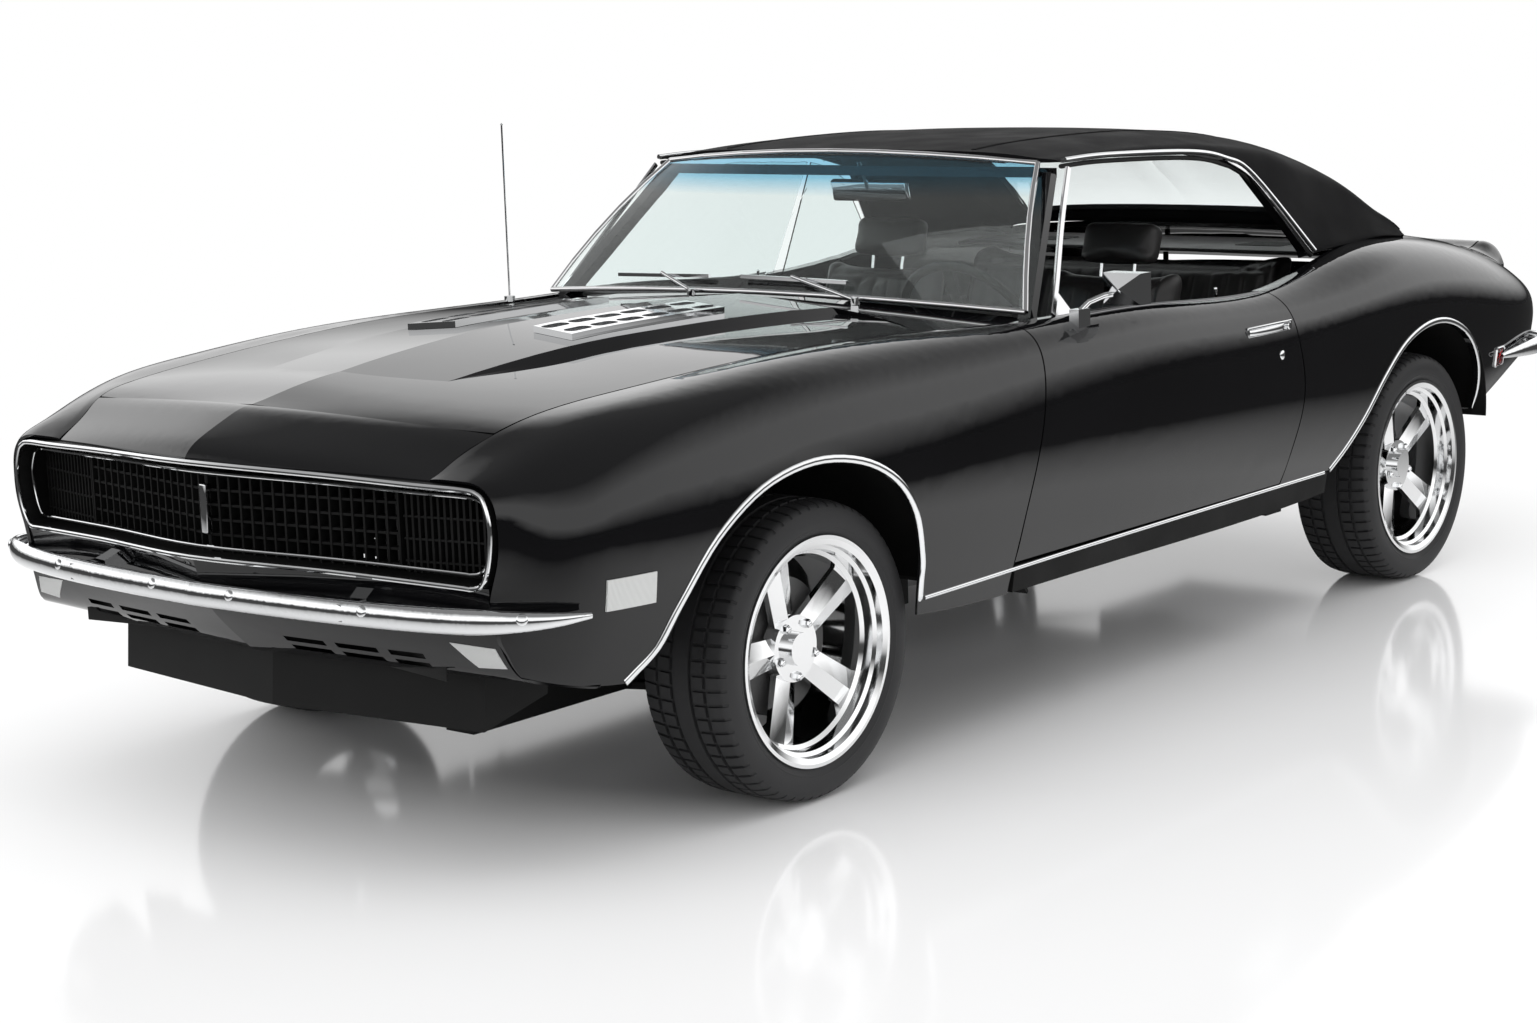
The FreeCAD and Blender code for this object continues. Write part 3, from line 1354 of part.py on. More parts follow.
def make_rear_seat():
    cushion = side_prism([(-2020, 312), (-2020, 560), (-2440, 540), (-2478, 500), (-2240, 482), (-2222, 479),
                          (-2148, 312)], -560, 560)
    back = side_prism([(-2440, 497), (-2400, 560), (-2560, 930), (-2680, 940), (-2600, 700), (-2560, 565)], -560, 560)
    shelf = side_prism([(-2560, 925), (-2560, 938), (-2960, 946), (-2960, 932)], -600, 600)
    tunnel = Part.makeCylinder(TUNNEL_RADIUS + GAP, 1000, V(at(-2700, 0, 0).x, 0, at(0, 0, 300).z), V(1, 0, 0))
    return fused([cushion.cut(tunnel), back, shelf])


RAIL_LEFT = 380
RAIL_WIDTH = 80
RAIL_HEIGHT = 92
JACK_PAD = 60


def make_subframe():
    """Front subframe rails, crossmember and the control arms up to the ball joints."""
    rails = []
    joint_low = AXLE_Z - size("knuckle_height") / 2 - GAP
    joint_high = AXLE_Z + size("knuckle_height") / 2 + GAP
    for sign in (1, -1):
        rail_bottom = at(0, 0, 308).z - RAIL_HEIGHT
        rails.append(Part.makeBox(1500, RAIL_WIDTH, RAIL_HEIGHT,
                                  V(FRONT_AXLE_X - 900, sign * RAIL_LEFT - RAIL_WIDTH / 2, rail_bottom)))
        rails.append(Part.makeBox(JACK_PAD, JACK_PAD, 4, V(FRONT_AXLE_X - 700 - JACK_PAD / 2,
                                                           sign * RAIL_LEFT - JACK_PAD / 2, rail_bottom - 4)))
        tower = Part.makeBox(120, 60, 190, V(FRONT_AXLE_X - 60, min(sign * 350, sign * 410), AXLE_Z - 30))
        rails.append(tower)
        tip_low = V(FRONT_AXLE_X, sign * STEER_Y, joint_low - 9)
        tip_high = V(FRONT_AXLE_X, sign * STEER_Y, joint_high + 9)
        for foot in (-110, 110):
            rails.append(bar(V(FRONT_AXLE_X + foot, sign * 400, joint_low - 12), tip_low, 30, 16, V(1, 0, 0)))
            rails.append(bar(V(FRONT_AXLE_X + foot * 0.5, sign * 385, joint_high + 9), tip_high, 26, 16, V(1, 0, 0)))
        rails.append(Part.makeCylinder(20, 18, tip_low - V(0, 0, 9)))
        rails.append(Part.makeCylinder(20, 18, tip_high - V(0, 0, 9)))
    cross = Part.makeBox(160, 700, 60, V(FRONT_AXLE_X - 80, -350, AXLE_Z - 90))
    return fused(rails + [cross])


def make_rear_axle(underbody):
    """Solid axle with its differential, brake drums and leaf springs."""
    end = REAR_WHEEL_Y + size("hub_face") + size("spindle_reach")
    centre = V(REAR_AXLE_X, 0, AXLE_Z)
    tube = Part.makeCylinder(size("axle_tube_radius"), 2 * (REAR_WHEEL_Y - 40), centre - V(0, REAR_WHEEL_Y - 40, 0),
                             V(0, 1, 0))
    spindle = Part.makeCylinder(size("spindle_radius"), 2 * end, centre - V(0, end, 0), V(0, 1, 0))
    ball = Part.makeSphere(size("differential_radius"), centre)
    pieces = [tube, spindle, ball]
    for sign in (1, -1):
        width = size("brake_width")
        start = centre + V(0, sign * (REAR_WHEEL_Y - 40) - width / 2, 0)
        drum = Part.makeCylinder(size("brake_radius"), width, start, V(0, 1, 0))
        pieces.append(drum)
        y = sign * 520
        leaf = [V(REAR_AXLE_X + 460, y - 30, AXLE_Z + 20), V(REAR_AXLE_X, y - 30, AXLE_Z - 60),
                V(REAR_AXLE_X - 560, y - 30, AXLE_Z + 40), V(REAR_AXLE_X - 560, y - 30, AXLE_Z + 52),
                V(REAR_AXLE_X, y - 30, AXLE_Z - 38), V(REAR_AXLE_X + 460, y - 30, AXLE_Z + 32)]
        pieces.append(plate(leaf, V(0, 60, 0)))
        for ahead, low in ((448, 20), (-548, 40)):
            top = floor_under(REAR_AXLE_X + ahead) + 4
            pieces.append(Part.makeBox(24, 60, top - AXLE_Z - low, V(REAR_AXLE_X + ahead - 12, y - 30, AXLE_Z + low)))
    return fused(pieces).cut(underbody)


def floor_under(x):
    """Height of the underside of the floor at a place along the car."""
    points = [at(ahead, 0, height) for ahead, height in FLOOR_LINE]
    for a, b in zip(points, points[1:]):
        if b.x <= x <= a.x:
            share = (x - a.x) / (b.x - a.x)
            return a.z + (b.z - a.z) * share - size("floor_thickness")
    return points[-1].z - size("floor_thickness")


WHEEL_TILT = 62
WHEEL_CENTRE = at(-1235, 385, 850)
WHEEL_AXIS = V(-math.sin(math.radians(WHEEL_TILT)), 0, math.cos(math.radians(WHEEL_TILT)))


def make_column():
    return rod(WHEEL_CENTRE - WHEEL_AXIS * 30.4, WHEEL_CENTRE - WHEEL_AXIS * 330, 24)


def pyramid(corners, apex):
    """Solid over a flat outline of corners, all its other faces meeting at an apex."""
    faces = [Part.Face(Part.makePolygon(corners + [corners[0]]))]
    for a, b in zip(corners, corners[1:] + [corners[0]]):
        faces.append(Part.Face(Part.makePolygon([a, b, apex, a])))
    solid = Part.makeSolid(Part.makeShell(faces))
    if solid.Volume < 0:
        solid.reverse()
    return solid


def make_mirror(door):
    """Rectangular door mirror on a curved arm; its shell is faceted like a low pyramid."""
    foot = block(at(-1045, 836, 890), at(-995, 862, 944)).cut(door)
    arm = strip_along([at(-1022, 850, 940), at(-1040, 862, 958), at(-1075, 880, 970), at(-1105, 892, 972)], 7)
    head = block(at(-1150, 862, 948), at(-1104, 964, 1022))
    corners = [at(-1104, 862, 948), at(-1104, 964, 948), at(-1104, 964, 1022), at(-1104, 862, 1022)]
    return fused([foot, arm, head, pyramid(corners, at(-1086, 913, 985))])


INSERT_FRONT = 62
INSERT_REAR = -455
INSERT_NEAR = 122
INSERT_FAR = 256
INSERT_RISE = 15
INSERT_PORTS = 6


def make_hood_inserts():
    """Two ported boxes standing on the raised middle of the hood."""
    grid = []
    for i in range(7):
        line = []
        for j in range(5):
            left = INSERT_NEAR + (INSERT_FAR - INSERT_NEAR) * j / 4
            ahead = INSERT_FRONT + 20 * j / 4 + (INSERT_REAR - INSERT_FRONT) * i / 6
            line.append(at(ahead, left, bulge_height(ahead, left) + INSERT_RISE))
        grid.append(line)
    box = slab(grid, drop(grid, INSERT_RISE - GAP))
    row_step = (INSERT_FAR - INSERT_NEAR) / 2
    port_step = (INSERT_FRONT - INSERT_REAR) / INSERT_PORTS
    for row in range(2):
        left = INSERT_NEAR + row_step * (row + 0.5)
        for k in range(INSERT_PORTS):
            middle = INSERT_FRONT + 8 - port_step * (k + 0.5)
            floor = at(0, 0, bulge_height(middle, left) + 5).z
            ends = [at(middle + offset, left, 0) for offset in (-port_step * 0.24, port_step * 0.24)]
            slot = [block(V(ends[0].x, ends[0].y - 17, floor), V(ends[1].x, ends[1].y + 17, floor + 60))]
            for end in ends:
                slot.append(Part.makeCylinder(17, 60, V(end.x, end.y, floor)))
            box = box.cut(fused(slot))
    return Part.makeCompound([box, mirrored(box)])


# The lip spoiler in profile: distance ahead of the tail's edge, share of its full rise.
SPOILER_PROFILE = [(200, 0.02), (160, 0.1), (110, 0.4), (66, 0.84), (34, 1.0), (8, 0.95)]
SPOILER_CENTRE = 893
SPOILER_SIDE = 885
SPOILER_ENDING = [(0, 885), (26, 881), (48, 866), (64, 842), (74, 816)]


def body_top(ahead, left):
    """Height of the quarter panel beside the decklid."""
    rows = [side_point(ahead, row) for row in range(4)]
    return Curve([(point[1], point[2]) for point in rows])(left)


def spoiler_half(stations):
    """Loft of the spoiler across the car; a station gives its left at a distance ahead, its top and its foot."""
    top = []
    foot = []
    for left_at, height, under in stations:
        top_line = []
        foot_line = []
        for before_edge, rise in SPOILER_PROFILE:
            ahead = DECK_REAR - tail_back(min(left_at(DECK_REAR), 635)) + before_edge
            left = left_at(ahead)
            ground = under(ahead, left) + GAP
            top_line.append(at(ahead, left, ground + 1.2 + max(height - ground, 2.0) * rise))
            foot_line.append(at(ahead, left, ground))
        top.append(top_line)
        foot.append(foot_line)
    return slab(top, foot)


def make_spoiler(lid):
    """Lip spoiler along the decklid's rear edge."""
    stations = []
    count = 8
    for i in range(count + 1):
        share = i / count
        height = SPOILER_CENTRE + (SPOILER_SIDE - SPOILER_CENTRE) * share ** 1.2
        stations.append((lambda ahead, share=share: (side_point(ahead, 0)[1] - size("lid_gap") - 0.5) * share,
                         height, deck_height))
    return both_halves(spoiler_half(stations)).cut(lid)


def make_spoiler_ends():
    """End pieces of the spoiler on the quarter panels, rounded down to the body."""
    stations = []
    for beyond, height in SPOILER_ENDING:
        stations.append((lambda ahead, beyond=beyond: side_point(ahead, 0)[1] + 0.5 + beyond, height, body_top))
    end = spoiler_half(stations).cut(quarter)
    return Part.makeCompound([end, mirrored(end)])


def worth(expression):
    return float(sheet.evalExpression(expression))


def origin_feature(body, role):
    """A base plane or axis of a body."""
    return [item for item in body.Origin.OriginFeatures if item.Role == role][0]


def outline_sketch(body, name, plane, corners, offset=0.0):
    """Closed sketch whose corners (across, up) are bound to expressions of the sheet."""
    sketch = body.newObject("Sketcher::SketchObject", name)
    sketch.AttachmentSupport = (plane, [""])
    sketch.MapMode = "FlatFace"
    sketch.AttachmentOffset = FreeCAD.Placement(V(0, 0, offset), FreeCAD.Rotation())
    places = [V(worth(across), worth(up), 0) for across, up in corners]
    count = len(places)
    for i in range(count):
        sketch.addGeometry(Part.LineSegment(places[i], places[(i + 1) % count]), False)
    for i in range(count):
        sketch.addConstraint(Sketcher.Constraint("Coincident", i, 2, (i + 1) % count, 1))
    for i, corner in enumerate(corners):
        for kind, expression in zip(("DistanceX", "DistanceY"), corner):
            index = sketch.addConstraint(Sketcher.Constraint(kind, -1, 1, i, 1, worth(expression)))
            sketch.setExpression("Constraints[%d]" % index, expression)
    return sketch


def circle_sketch(body, name, radius, offset):
    """Circle round the body's axis at a height along it, both given as expressions."""
    sketch = body.newObject("Sketcher::SketchObject", name)
    sketch.AttachmentSupport = (origin_feature(body, "XY_Plane"), [""])
    sketch.MapMode = "FlatFace"
    sketch.addGeometry(Part.Circle(V(0, 0, 0), V(0, 0, 1), worth(radius)), False)
    sketch.addConstraint(Sketcher.Constraint("Coincident", 0, 3, -1, 1))
    index = sketch.addConstraint(Sketcher.Constraint("Radius", 0, worth(radius)))
    sketch.setExpression("Constraints[%d]" % index, radius)
    sketch.setExpression(".AttachmentOffset.Base.z", offset)
    return sketch


def revolved(body, name, sketch):
    feature = body.newObject("PartDesign::Revolution", name)
    feature.Profile = sketch
    feature.ReferenceAxis = (sketch, ["V_Axis"])
    feature.Angle = 360
    return feature


def padded(body, name, sketch, length):
    feature = body.newObject("PartDesign::Pad", name)
    feature.Profile = sketch
    feature.setExpression("Length", length)
    return feature


RIM_HALF = "Sizes.rim_width / 2"
RIM_PROFILE = [
    ("Sizes.rim_lip_radius", "-" + RIM_HALF),
    ("Sizes.barrel_radius + 6 mm", "-" + RIM_HALF),
    ("Sizes.barrel_radius - 6 mm", "60 mm -" + RIM_HALF),
    ("Sizes.barrel_radius - 8 mm", RIM_HALF + "- 50 mm"),
    ("Sizes.barrel_radius + 1 mm", RIM_HALF + "- 44 mm"),
    ("Sizes.barrel_radius + 4 mm", RIM_HALF + "- 24 mm"),
    ("Sizes.barrel_radius + 13 mm", RIM_HALF + "- 19 mm"),
    ("Sizes.barrel_radius + 15 mm", RIM_HALF + "- 5 mm"),
    ("Sizes.rim_lip_radius - 8 mm", RIM_HALF),
    ("Sizes.rim_lip_radius", RIM_HALF),
    ("Sizes.rim_lip_radius", RIM_HALF + "- Sizes.rim_lip_width"),
    ("Sizes.bead_radius - 0.3 mm", RIM_HALF + "- Sizes.rim_lip_width"),
    ("Sizes.bead_radius - 0.3 mm", RIM_HALF + "- 45 mm"),
    ("Sizes.barrel_radius + 8 mm", RIM_HALF + "- 60 mm"),
    ("Sizes.barrel_radius + 8 mm", "62 mm -" + RIM_HALF),
    ("Sizes.bead_radius - 0.3 mm", "45 mm -" + RIM_HALF),
    ("Sizes.bead_radius - 0.3 mm", "Sizes.rim_lip_width -" + RIM_HALF),
    ("Sizes.rim_lip_radius", "Sizes.rim_lip_width -" + RIM_HALF),
]


def plain(expression):
    """The sheet's sizes carry no unit, so the millimetres written in an expression are dropped."""
    return expression.replace(" mm", "")


def spoke_section(end):
    """Five-sided section of a spoke with a ridge along its front."""
    prefix = "Sizes.spoke_%s_" % end
    half = prefix + "width / 2"
    return [("-" + half, prefix + "back"), (half, prefix + "back"), (half, prefix + "edge"),
            (prefix + "width * 0", prefix + "ridge"), ("-" + half, prefix + "edge")]


def add_rim(label):
    """Rim with a stepped outer lip, five ridged spokes and a round cap; its outer side faces up."""
    body = doc.addObject("PartDesign::Body", label)
    body.Label = label
    plane = origin_feature(body, "XZ_Plane")
    profile = [(plain(across), plain(up)) for across, up in RIM_PROFILE]
    revolved(body, label + "_barrel", outline_sketch(body, label + "_profile", plane, profile))
    across_plane = origin_feature(body, "YZ_Plane")
    root = outline_sketch(body, label + "_spoke_root", across_plane, spoke_section("root"), 0.0)
    root.setExpression(".AttachmentOffset.Base.z", "Sizes.spoke_root_radius")
    tip = outline_sketch(body, label + "_spoke_tip", across_plane, spoke_section("tip"), 0.0)
    tip.setExpression(".AttachmentOffset.Base.z", "Sizes.barrel_radius")
    spoke = body.newObject("PartDesign::AdditiveLoft", label + "_spoke")
    spoke.Profile = root
    spoke.Sections = [tip]
    spoke.Ruled = True
    pattern = body.newObject("PartDesign::PolarPattern", label + "_spokes")
    pattern.Originals = [spoke]
    pattern.Axis = (origin_feature(body, "Z_Axis"), [""])
    pattern.Angle = 360
    pattern.setExpression("Occurrences", "Sizes.spoke_count")
    body.Tip = pattern
    padded(body, label + "_boss", circle_sketch(body, label + "_boss_outline", "Sizes.hub_radius", "Sizes.hub_face"),
           "Sizes.hub_length")
    padded(body, label + "_cap", circle_sketch(body, label + "_cap_outline", "Sizes.cap_radius",
                                               "Sizes.hub_face + Sizes.hub_length"), "Sizes.cap_length")
    bore = body.newObject("PartDesign::Pocket", label + "_bore")
    bore.Profile = circle_sketch(body, label + "_bore_outline", "Sizes.hub_bore_radius", "Sizes.hub_face")
    bore.setExpression("Length", "Sizes.spindle_reach + Sizes.seat_gap")
    bore.Reversed = True
    body.Tip = bore
    return body


TYRE_HALF = "Sizes.tyre_width / 2"
BEAD_HALF = "Sizes.rim_width / 2 - Sizes.rim_lip_width - 0.3"
TYRE_SIDE = [
    ("Sizes.bead_radius", BEAD_HALF),
    ("Sizes.bead_radius + 19", BEAD_HALF),
    ("Sizes.bead_radius + 42", TYRE_HALF),
    ("Sizes.tyre_radius - 30", TYRE_HALF + " - 1"),
    ("Sizes.tyre_radius - 10", "Sizes.tread_width / 2"),
    ("Sizes.tyre_radius", "Sizes.tread_flat / 2"),
]


def add_tyre(label):
    """Low-profile tyre on its beads, its tread rounded off at the shoulders."""
    body = doc.addObject("PartDesign::Body", label)
    body.Label = label
    profile = TYRE_SIDE + [(across, "-(%s)" % up) for across, up in TYRE_SIDE[::-1]]
    plane = origin_feature(body, "XZ_Plane")
    body.Tip = revolved(body, label + "_ring", outline_sketch(body, label + "_profile", plane, profile))
    return body


def primitive(kind, name, place, rotation=None, **sizes):
    """Part primitive with its sizes bound to the sheet."""
    item = doc.addObject(kind, name)
    for key, expression in sizes.items():
        item.setExpression(key, expression)
    item.Placement = FreeCAD.Placement(place, rotation or FreeCAD.Rotation())
    return item


def joined(label, items):
    whole = doc.addObject("Part::MultiFuse", label)
    whole.Label = label
    whole.Shapes = items
    whole.Refine = True
    return whole


ALONG = FreeCAD.Rotation(V(0, 1, 0), 90)
ACROSS = FreeCAD.Rotation(V(1, 0, 0), -90)


def add_knuckles():
    """Front knuckles: upright between the ball joints, spindle and brake."""
    centre = V(FRONT_AXLE_X, STEER_Y, AXLE_Z)
    bottom = centre - V(0, 0, size("knuckle_height") / 2)
    post = primitive("Part::Cylinder", "upright", bottom, Radius="Sizes.knuckle_radius",
                     Height="Sizes.knuckle_height")
    brake = primitive("Part::Cylinder", "brake", centre + V(0, size("brake_offset"), 0), ACROSS,
                      Radius="Sizes.brake_radius", Height="Sizes.brake_width")
    neck = primitive("Part::Cylinder", "neck", centre, ACROSS, Radius="Sizes.neck_radius", Height="Sizes.neck_length")
    spindle = primitive("Part::Cylinder", "spindle", centre, ACROSS, Radius="Sizes.spindle_radius",
                        Height="Sizes.steer_inset + Sizes.hub_face + Sizes.spindle_reach")
    left = joined("knuckle_left", [post, brake, neck, spindle])
    right = doc.addObject("Part::Mirroring", "knuckle_right")
    right.Label = "knuckle_right"
    right.Source = left
    right.Normal = V(0, 1, 0)


def add_exhaust():
    """Twin pipes from the engine to a silencer in front of each rear corner."""
    height = floor_under(at(-2149, 0, 0).x) - 0.3 - size("silencer_radius")
    front = FRONT_AXLE_X - 420
    rear = REAR_AXLE_X + 480
    left = 250
    runs = []
    for side, y in (("left", left), ("right", -left)):
        pipe = primitive("Part::Cylinder", "pipe_" + side, V(rear, y, height), ALONG, Radius="Sizes.exhaust_radius")
        pipe.Height = front - rear
        silencer = primitive("Part::Cylinder", "silencer_" + side, V(rear, y, height), ALONG,
                             Radius="Sizes.silencer_radius", Height="Sizes.silencer_length")
        runs += [pipe, silencer]
    bridge = primitive("Part::Cylinder", "bridge", V(FRONT_AXLE_X - 980, -left, height), ACROSS,
                       Radius="Sizes.exhaust_radius * 0.7")
    bridge.Height = 2 * left
    joined("exhaust", runs + [bridge])


def add_steering_wheel():
    """Three-spoke wheel, tilted towards the driver."""
    tilt = FreeCAD.Rotation(V(0, 1, 0), -WHEEL_TILT)
    ring = primitive("Part::Torus", "wheel_ring", WHEEL_CENTRE, tilt, Radius1="Sizes.steering_wheel_radius",
                     Radius2="Sizes.steering_wheel_grip")
    hub = primitive("Part::Cylinder", "wheel_hub", WHEEL_CENTRE - WHEEL_AXIS * 30, tilt,
                    Radius="Sizes.wheel_hub_radius", Height="Sizes.wheel_hub_radius")
    pieces = [ring, hub]
    for name, angle in (("left", 90), ("right", -90), ("low", 0)):
        turn = tilt.multiply(FreeCAD.Rotation(V(0, 0, 1), angle))
        foot = WHEEL_CENTRE - WHEEL_AXIS * 12 - turn.multVec(V(0, size("wheel_spoke_width") / 2, 0))
        pieces.append(primitive("Part::Box", "wheel_spoke_" + name, foot, turn, Length="Sizes.steering_wheel_radius",
                                Width="Sizes.wheel_spoke_width", Height="Sizes.wheel_spoke_thickness"))
    joined("steering_wheel", pieces)


def add_antenna():
    """Whip antenna on the right wing."""
    foot = at(-752, -745, side_point(-752, 0.1)[2])
    base = primitive("Part::Cylinder", "antenna_base", foot, Radius="Sizes.antenna_base_radius",
                     Height="Sizes.antenna_base_radius")
    mast = primitive("Part::Cylinder", "antenna_mast", foot, Radius="Sizes.antenna_radius",
                     Height="Sizes.antenna_height")
    tip = primitive("Part::Sphere", "antenna_tip", foot + V(0, 0, size("antenna_height")),
                    Radius="Sizes.antenna_radius * 1.6")
    joined("antenna", [base, mast, tip])


def add_box(label, place, prefix):
    box = primitive("Part::Box", label, place, Length="Sizes.%s_length" % prefix, Width="Sizes.%s_width" % prefix,
                    Height="Sizes.%s_height" % prefix)
    box.Label = label


fender = make_fender()
quarter = make_quarter()
door = make_door()
door_glass = side_glass(DOOR_GLASS, 789, 0.0, 0.459, size("glass_thickness"))
door = door.cut(door_glass)
bumper, bracket = make_bumper_front()
rear_bumper, rear_bracket = make_bumper_rear()
windshield = make_windshield()
cowl = make_cowl_and_pillars()
roof = make_roof()
quarter_glass = side_glass(QUARTER_GLASS, 768, 0.05, 0.39, size("glass_thickness")).cut(quarter).cut(roof)
valance = make_front_valance()
decklid = make_decklid()
header = make_header()
grille_frame = make_grille_frame(header)
underbody = make_underbody()
tail = make_tail_panel().cut(rear_bracket).cut(mirrored(rear_bracket))
for side in (quarter, mirrored(quarter)):
    underbody = underbody.cut(side)
    tail = tail.cut(side)

# The side windows are let down on the left and up on the right, as the car is shown.
SHAPES = {
    "underbody": underbody,
    "inner_fenders": make_inner_fenders(underbody),
    "cowl": cowl,
    "roof": roof,
    "quarter_left": quarter,
    "quarter_right": mirrored(quarter),
    "fender_left": fender,
    "fender_right": mirrored(fender),
    "header_panel": header,
    "front_valance": valance.cut(bracket).cut(mirrored(bracket)),
    "air_dam": make_air_dam(),
    "grille": make_grille(grille_frame),
    "grille_frame": grille_frame,
    "lamp_covers": make_lamp_covers(grille_frame),
    "front_lamps": make_front_lamps(),
    "bumper_front": bumper,
    "bumper_rear": rear_bumper,
    "tail_panel": tail,
    "tail_lamps": make_tail_lamps(),
    "windshield": windshield,
    "rear_glass": Part.makeCompound([make_rear_window(), mirrored(quarter_glass)]),
    "window_trim": make_window_trim(windshield, roof),
    "side_trim": make_side_trim(Part.makeCompound([fender, quarter, underbody])),
    "wipers": make_wipers(),
    "dashboard": fused([make_dashboard(cowl), make_column()]),
    "front_seats": make_front_seats(),
    "rear_seat": make_rear_seat(),
    "front_subframe": make_subframe(),
    "rear_axle": make_rear_axle(underbody),
    "spoiler_ends": make_spoiler_ends(),
    "door_left": door,
    "door_right": mirrored(door),
    "door_glass_right": mirrored(door_glass),
    "door_mirror": make_mirror(door),
    "hood": make_hood(),
    "hood_inserts": make_hood_inserts(),
    "decklid": decklid,
    "rear_spoiler": make_spoiler(decklid),
}
for label, shape in SHAPES.items():
    add_shape(label, shape)

add_box("engine", V(FRONT_AXLE_X + 200 - size("engine_length"), -size("engine_width") / 2, AXLE_Z - 30), "engine")
tank_top = at(0, 0, FLOOR_LINE[-1][1]).z - size("floor_thickness")
add_box("fuel_tank", V(at(-3580, 0, 0).x, -size("tank_width") / 2, tank_top - size("tank_height")), "tank")
add_knuckles()
add_exhaust()
add_steering_wheel()
add_antenna()
CORNERS = {"fl": (FRONT_AXLE_X, FRONT_WHEEL_Y), "fr": (FRONT_AXLE_X, -FRONT_WHEEL_Y),
           "rl": (REAR_AXLE_X, REAR_WHEEL_Y), "rr": (REAR_AXLE_X, -REAR_WHEEL_Y)}
for corner, (ahead, left) in CORNERS.items():
    outward = FreeCAD.Rotation(V(1, 0, 0), -90 if left > 0 else 90)
    for wheel_part in (add_tyre("tyre_" + corner), add_rim("rim_" + corner)):
        wheel_part.Placement = FreeCAD.Placement(V(ahead, left, AXLE_Z), outward)

doc.recompute()
NODE_LABELS = list(SHAPES) + ["engine", "fuel_tank", "knuckle_left", "knuckle_right", "exhaust", "steering_wheel",
                              "antenna"]
NODE_LABELS += [prefix + corner for corner in CORNERS for prefix in ("tyre_", "rim_")]
problems = []
for item in doc.Objects:
    if "Invalid" in item.State or "Error" in item.State:
        problems.append("%s is %s" % (item.Label, item.State))
nodes = {label: doc.getObjectsByLabel(label)[0] for label in NODE_LABELS}
for label, item in nodes.items():
    if item.Shape.isNull() or not item.Shape.isValid() or not item.Shape.Solids:
        problems.append("%s has a bad shape" % label)
if problems:
    raise RuntimeError("\n".join(problems))
os.makedirs("parts", exist_ok=True)
for label, item in nodes.items():
    item.Shape.exportStep("parts/%s.step" % label)
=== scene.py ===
import json
import math

import bmesh
import bpy
import numpy as np
from mathutils import Matrix, Vector
from mathutils.bvhtree import BVHTree


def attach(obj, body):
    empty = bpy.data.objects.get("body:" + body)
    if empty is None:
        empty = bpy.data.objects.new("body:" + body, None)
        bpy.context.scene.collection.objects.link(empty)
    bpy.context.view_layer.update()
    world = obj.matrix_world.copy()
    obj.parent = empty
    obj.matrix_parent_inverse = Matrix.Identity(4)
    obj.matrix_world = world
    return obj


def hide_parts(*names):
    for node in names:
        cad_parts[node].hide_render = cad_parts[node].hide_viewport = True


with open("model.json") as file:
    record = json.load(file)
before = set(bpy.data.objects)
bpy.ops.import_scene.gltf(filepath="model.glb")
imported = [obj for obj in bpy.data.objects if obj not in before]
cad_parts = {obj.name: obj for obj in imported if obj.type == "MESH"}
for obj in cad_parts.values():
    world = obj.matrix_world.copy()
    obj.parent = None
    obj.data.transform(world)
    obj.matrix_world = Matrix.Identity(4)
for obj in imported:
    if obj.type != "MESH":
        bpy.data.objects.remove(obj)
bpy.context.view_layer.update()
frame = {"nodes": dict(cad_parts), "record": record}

NODES = frame["nodes"]
scene = bpy.context.scene
scene.view_settings.view_transform = "Standard"

# Points of the body are given in millimetres ahead of the front axle, left of the middle and
# above the ground; P() turns them into the frame.
AHEAD_ORIGIN = 1375.0


def P(ahead, left, height):
    return Vector(((ahead + AHEAD_ORIGIN) / 1000, left / 1000, height / 1000))


# Camera: the photograph's angle, as yaw, pitch and roll in degrees.
SENSOR_WIDTH = 36.0
PHOTO_WIDTH = 1537.0
FOCAL_PIXELS = 2806.594
CAMERA_PLACE = (5.890, 4.421, 1.637)
CAMERA_ANGLES = (219.3129, -9.9707, -1.8561)


def add_camera():
    data = bpy.data.cameras.new("camera")
    data.sensor_width = SENSOR_WIDTH
    data.lens = FOCAL_PIXELS / PHOTO_WIDTH * SENSOR_WIDTH
    data.clip_end = 200.0
    cam = bpy.data.objects.new("camera", data)
    scene.collection.objects.link(cam)
    yaw, pitch, roll = (math.radians(angle) for angle in CAMERA_ANGLES)
    forward = Vector((math.cos(pitch) * math.cos(yaw), math.cos(pitch) * math.sin(yaw), math.sin(pitch)))
    right = forward.cross(Vector((0, 0, 1))).normalized()
    up = right.cross(forward)
    rolled_right = right * math.cos(roll) + up * math.sin(roll)
    rolled_up = up * math.cos(roll) - right * math.sin(roll)
    rotation = Matrix((rolled_right, rolled_up, -forward)).transposed().to_4x4()
    cam.matrix_world = Matrix.Translation(CAMERA_PLACE) @ rotation
    scene.camera = cam


add_camera()


# Materials.
def new_material(name):
    mat = bpy.data.materials.new(name)
    mat.use_nodes = True
    tree = mat.node_tree
    shader = tree.nodes["Principled BSDF"]
    return mat, tree, shader


def set_inputs(shader, **values):
    for key, value in values.items():
        shader.inputs[key.replace("_", " ")].default_value = value


def add_node(tree, kind, **values):
    node = tree.nodes.new(kind)
    for key, value in values.items():
        setattr(node, key, value)
    return node


def object_noise(tree, scale, detail=3.0, rough=0.5):
    coords = add_node(tree, "ShaderNodeTexCoord")
    noise = add_node(tree, "ShaderNodeTexNoise")
    noise.inputs["Scale"].default_value = scale
    noise.inputs["Detail"].default_value = detail
    noise.inputs["Roughness"].default_value = rough
    tree.links.new(coords.outputs["Object"], noise.inputs["Vector"])
    return noise


